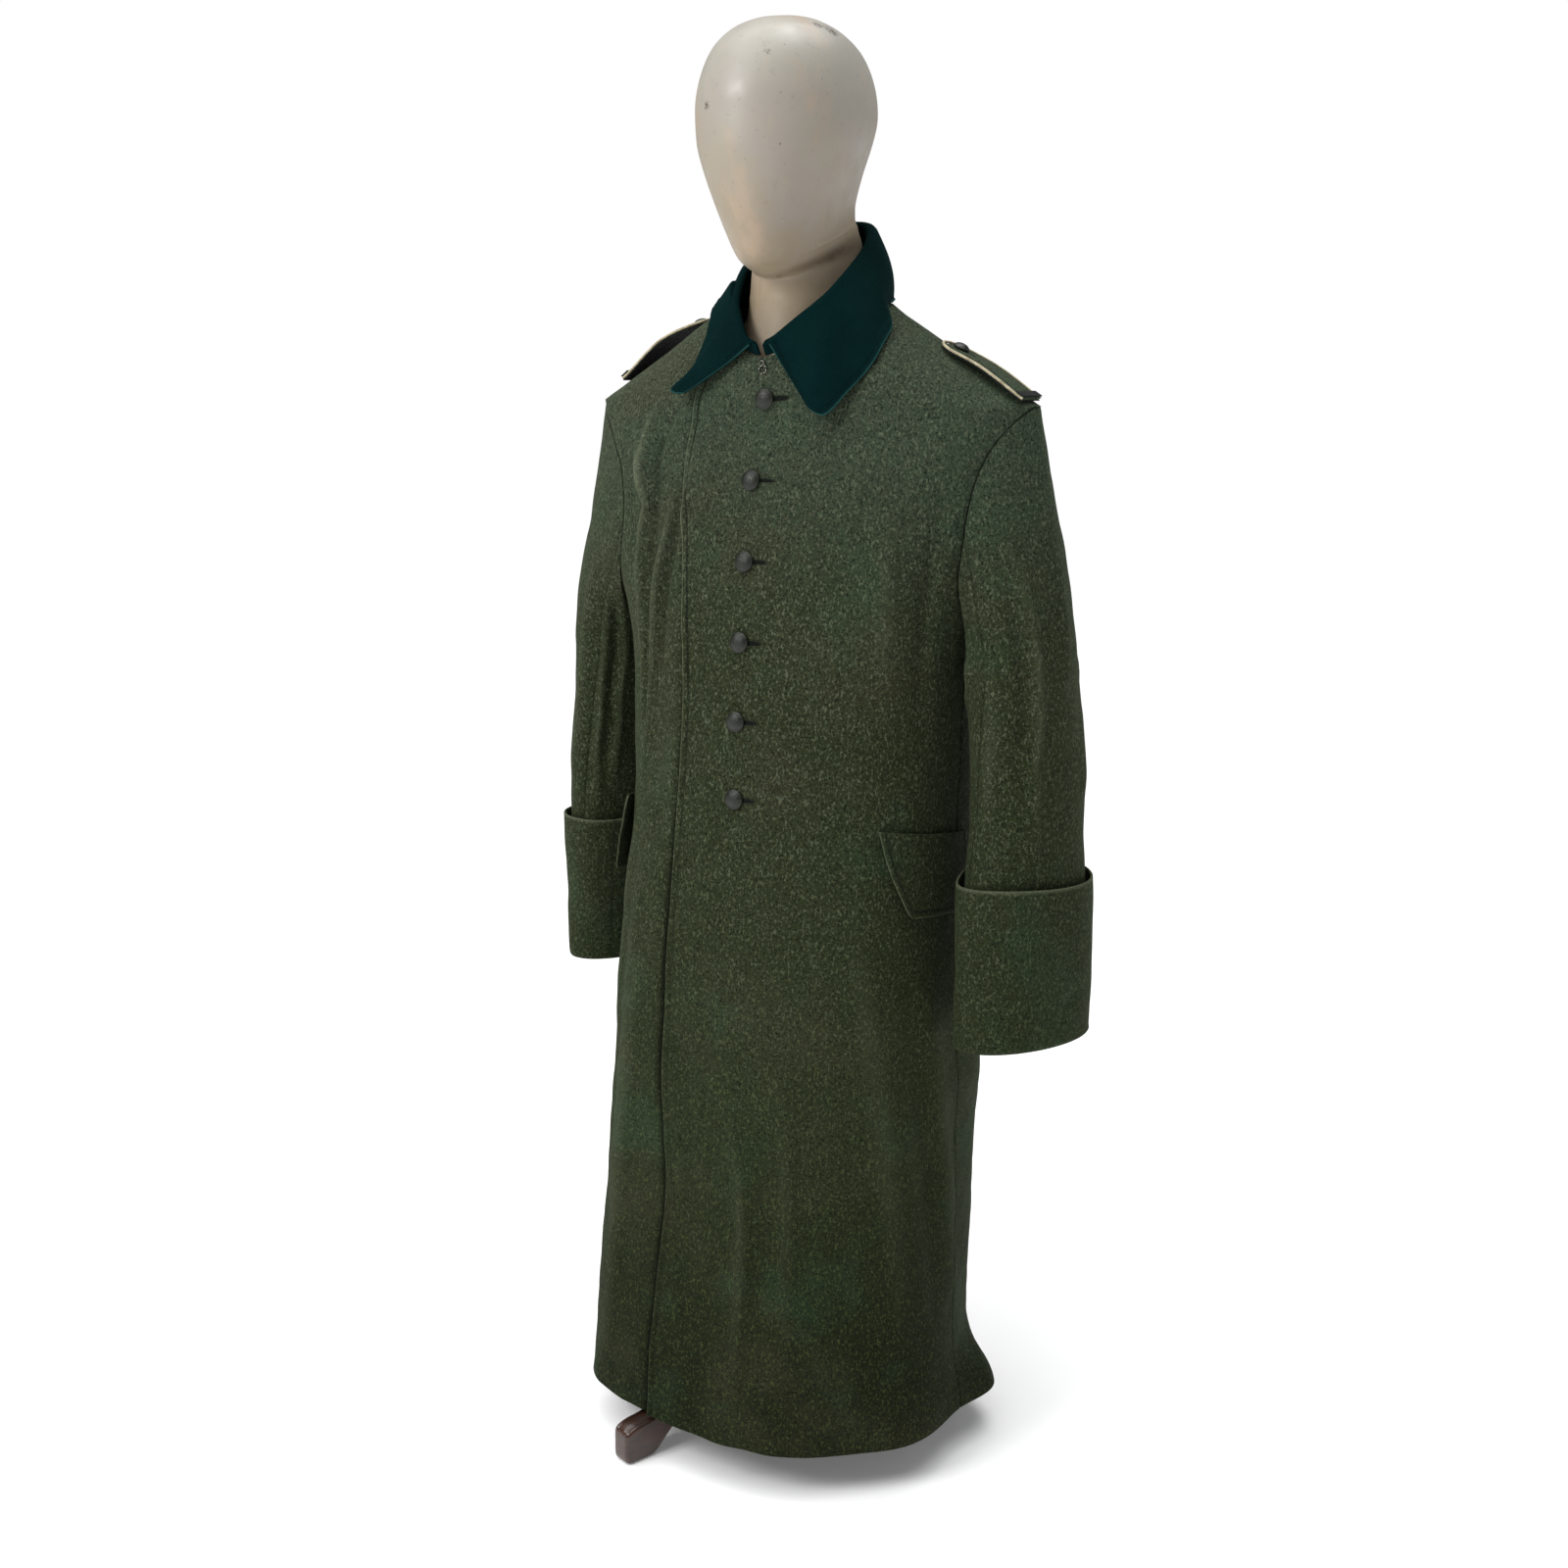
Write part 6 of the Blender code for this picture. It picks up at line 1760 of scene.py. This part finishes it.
def shell_finish():
    """Aged cream paint on a hard shell: yellowed and greyed, scuffed, with small dark chips, and painted shade under
    the jaw.
    """
    f = Finish("aged_cream_paint")
    # Darker and warmer towards the neck, lighter and greyer towards the crown.
    base = f.mix(f.ramp(f.height(), 1.25, 1.48), srgb(142, 127, 104), srgb(154, 150, 140))
    base = f.patch(base, (150, 142, 136), (0.40, 0.68, 0.0, 0.55), 9.0, 4.0, 0.6)
    base = f.patch(base, (176, 150, 124), (0.50, 0.70, 0.0, 0.45), 16.0, 4.0, 0.65, (1.0, 1.0, 0.5), 4.0)
    base = f.patch(base, (110, 98, 84), (0.58, 0.72, 0.0, 0.25), 120.0, 4.0, 0.7, seed=7.0)
    base = f.patch(base, (70, 58, 46), (0.70, 0.76, 0.0, 0.85), 260.0, 3.0, 0.6, seed=9.0)
    for x, y, z, radius in SPECKS:
        rag = f.ramp(f.noise(420.0, 3.0, 0.6, seed=x * 90), 0.40, 0.58)
        ragged = f.math("MULTIPLY", f.spot((x, y, z), radius), rag)
        base = f.mix(ragged, base, srgb(58, 46, 36))
    wear_and_shade = f.wear_and_shade()
    patchy = f.ramp(f.noise(90.0, 4.0, 0.6), 0.25, 0.6, 0.5, 1.0)
    # Painted shade under the jaw, made patchy.
    painted_jaw_shade = f.math("MULTIPLY", f.ramp(wear_and_shade, -0.05, -1.0, 0.0, 0.9), patchy)
    base = f.mix(painted_jaw_shade, base, srgb(62, 46, 32))
    f.set(Normal=f.bump(f.noise(60.0, 4.0, 0.6), 0.10, 0.0012))
    f.set(Base_Color=base, Roughness=f.rough(0.38, 0.58, 45.0, 4.0, 0.6, seed=2.0))
    f.set(Coat_Weight=0.12, Coat_Roughness=0.34)
    return f.made


def wood_finish():
    """Dark stained and varnished wood with a long grain."""
    f = Finish("dark_stained_wood")
    grain = f.noise(26.0, 5.0, 0.65, (1.0, 1.0, 5.0))
    base = f.mix(f.ramp(grain, 0.35, 0.68), srgb(38, 20, 12), srgb(64, 36, 20))
    base = f.patch(base, (30, 14, 9), (0.52, 0.66, 0.0, 0.6), 120.0, 4.0, 0.6, (1.0, 1.0, 6.0), 3.0)
    base = f.patch(base, (104, 72, 48), (0.58, 0.74, 0.0, 0.3), 14.0, 3.0, 0.6, seed=5.0)
    f.set(Normal=f.bump(grain, 0.20, 0.0010))
    f.set(Base_Color=base, Roughness=f.rough(0.28, 0.46, 40.0, 3.0), Coat_Weight=0.3, Coat_Roughness=0.15)
    return f.made


def thread_finish(name, low, high):
    f = Finish(name)
    base = f.mix(f.ramp(f.noise(500.0, 2.0), 0.3, 0.7), low, high)
    f.set(Normal=f.bump(f.noise(2000.0, 1.0), 0.4, 0.0003))
    f.set(Base_Color=base, Roughness=f.rough(0.7, 0.9, 900.0), Sheen_Weight=0.02, Specular_IOR_Level=0.08)
    return f.made


def floor_finish():
    f = Finish("pale_floor")
    base = f.mix(f.ramp(f.noise(3.0, 3.0), 0.3, 0.7), (0.94, 0.94, 0.94, 1.0), (0.96, 0.96, 0.96, 1.0))
    f.set(Base_Color=base, Emission_Color=base, Emission_Strength=0.12, Roughness=f.rough(0.55, 0.65, 20.0))
    return f.made


# ---- Floor, light and camera ----
def make_floor():
    data = bpy.data.meshes.new("floor")
    data.from_pydata([(-30, -30, 0), (30, -30, 0), (30, 60, 0), (-30, 60, 0)], [], [(0, 1, 2, 3)])
    data.materials.append(floor_finish())
    floor = placed("floor", data)


def make_light():
    world = bpy.data.worlds.new("studio")
    world.use_nodes = True
    tree = world.node_tree
    shown = tree.nodes["Background"]
    shown.inputs["Color"].default_value = (1.0, 1.0, 1.0, 1.0)
    shown.inputs["Strength"].default_value = 1.0
    soft = tree.nodes.new("ShaderNodeBackground")
    soft.inputs["Color"].default_value = (0.97, 0.98, 1.0, 1.0)
    soft.inputs["Strength"].default_value = 0.26
    path, join = tree.nodes.new("ShaderNodeLightPath"), tree.nodes.new("ShaderNodeMixShader")
    tree.links.new(path.outputs["Is Camera Ray"], join.inputs["Fac"])
    tree.links.new(soft.outputs["Background"], join.inputs[1])
    tree.links.new(shown.outputs["Background"], join.inputs[2])
    tree.links.new(join.outputs["Shader"], tree.nodes["World Output"].inputs["Surface"])
    bpy.context.scene.world = world
    sky = placed("sky", bpy.data.lights.new("sky", "SUN"))
    sky.data.energy = 2.6
    sky.data.angle = math.radians(70.0)
    sky.location = (0.0, 0.0, 4.0)
    sky.rotation_euler = (math.radians(6.0), math.radians(-8.0), 0.0)
    for name, place, size, power in (
        ("key", (-1.2, -2.7, 2.7), 1.3, 74.0),
        ("top", (0.4, 0.6, 3.2), 1.2, 20.0),
    ):
        light = bpy.data.lights.new(name, "AREA")
        light.size = size
        light.energy = power
        lamp = placed(name, light)
        lamp.location = place
        lamp.rotation_euler = (Vector((0.0, 0.0, 0.9)) - Vector(place)).to_track_quat("-Z", "Y").to_euler()


FOCAL_PIXELS = 1969.5
PICTURE_PIXELS = 1600.0
SENSOR = 36.0


def make_camera():
    """The photograph's view: from the front and the wearer's left, a little above, barely rolled."""
    a, p, r = math.radians(30.05), math.radians(12.21), math.radians(0.62)
    yaw = math.atan(18.96 / FOCAL_PIXELS)
    right = Vector((math.cos(a), math.sin(a), 0.0))
    ahead = Vector((-math.sin(a), math.cos(a), 0.0))
    place = -ahead * 2.0523 + Vector((-0.0004, 0.0164, 1.1733))
    view = ahead * math.cos(p) + Vector((0.0, 0.0, -math.sin(p)))
    over = ahead * math.sin(p) + Vector((0.0, 0.0, math.cos(p)))
    view, right = view * math.cos(yaw) - right * math.sin(yaw), right * math.cos(yaw) + view * math.sin(yaw)
    right, over = right * math.cos(r) + over * math.sin(r), over * math.cos(r) - right * math.sin(r)
    data = bpy.data.cameras.new("camera")
    data.sensor_width = SENSOR
    data.sensor_fit = "HORIZONTAL"
    data.lens = SENSOR * FOCAL_PIXELS / PICTURE_PIXELS
    data.clip_start = 0.05
    camera = placed("camera", data)
    camera.matrix_world = Matrix((
        (right.x, over.x, -view.x, place.x),
        (right.y, over.y, -view.y, place.y),
        (right.z, over.z, -view.z, place.z),
        (0.0, 0.0, 0.0, 1.0),
    ))
    bpy.context.scene.camera = camera
    bpy.context.scene.view_settings.view_transform = "Standard"


def dress_nodes(wood):
    """Better finishes on the CAD nodes that stay."""
    for name in ("stand_hub", "stand_pole"):
        bpy.data.objects[name].material_slots[0].material = wood


def main():
    make_camera()
    wool = wool_finish()
    green, dark, cream = collar_finish(), underlay_finish(), piping_finish()
    metal, wire, shell, wood = button_finish(), hook_finish(), shell_finish(), wood_finish()
    shadow = thread_finish("dark_slit", srgb(8, 10, 8), srgb(14, 18, 14))
    sewing = thread_finish("field_grey_thread", srgb(30, 36, 26), srgb(50, 57, 43))
    green_sewing = thread_finish("bottle_green_thread", srgb(5, 30, 30), srgb(12, 44, 42))
    make_fronts(wool)
    make_backs(wool)
    shapes = make_sleeves(wool)
    cuff_seams = make_cuffs(wool, shapes)
    collar_lines = make_collar(green)
    flap_lines = make_flaps(wool)
    hole_lines = make_buttons(metal, shadow)
    make_hook(wire)
    strap_lines = make_straps(wool, dark, metal, cream, shadow)
    make_head(shell)
    make_torso(shell)
    make_legs(wood)
    dress_nodes(wood)
    tree = stitch_tree()
    stitches("stitches_lap", tree, [lap_line()], sewing)
    stitches("stitches_collar", tree, collar_lines, green_sewing, (0.0034, 0.0026, 0.0006))
    stitches("stitches_flaps", tree, flap_lines, sewing)
    stitches("stitches_cuffs", tree, cuff_seams, sewing, (0.0045, 0.0032, 0.0007))
    stitches("stitches_straps", tree, strap_lines, sewing, (0.0032, 0.0024, 0.0006))
    stitches("stitches_buttonholes", tree, hole_lines, sewing, (0.0011, 0.0013, 0.0010))
    make_floor()
    make_light()


def lap_line():
    """The row of stitches beside the lap's edge, on the left front."""
    spots = []
    for level in np.linspace(HEM_Z + 0.010, NECKLINE - 0.012, 260):
        edge = left_edge_turn(level)
        turns, marks, _ = cloth_turns(level, edge, math.radians(60.0), 20)
        turn = float(np.interp(STITCH_IN, marks, turns))
        spot, normal = coat_surface(turn, level)
        spots.append(spot - normal * (GROOVE - 0.0002))
    return np.array(spots)


main()
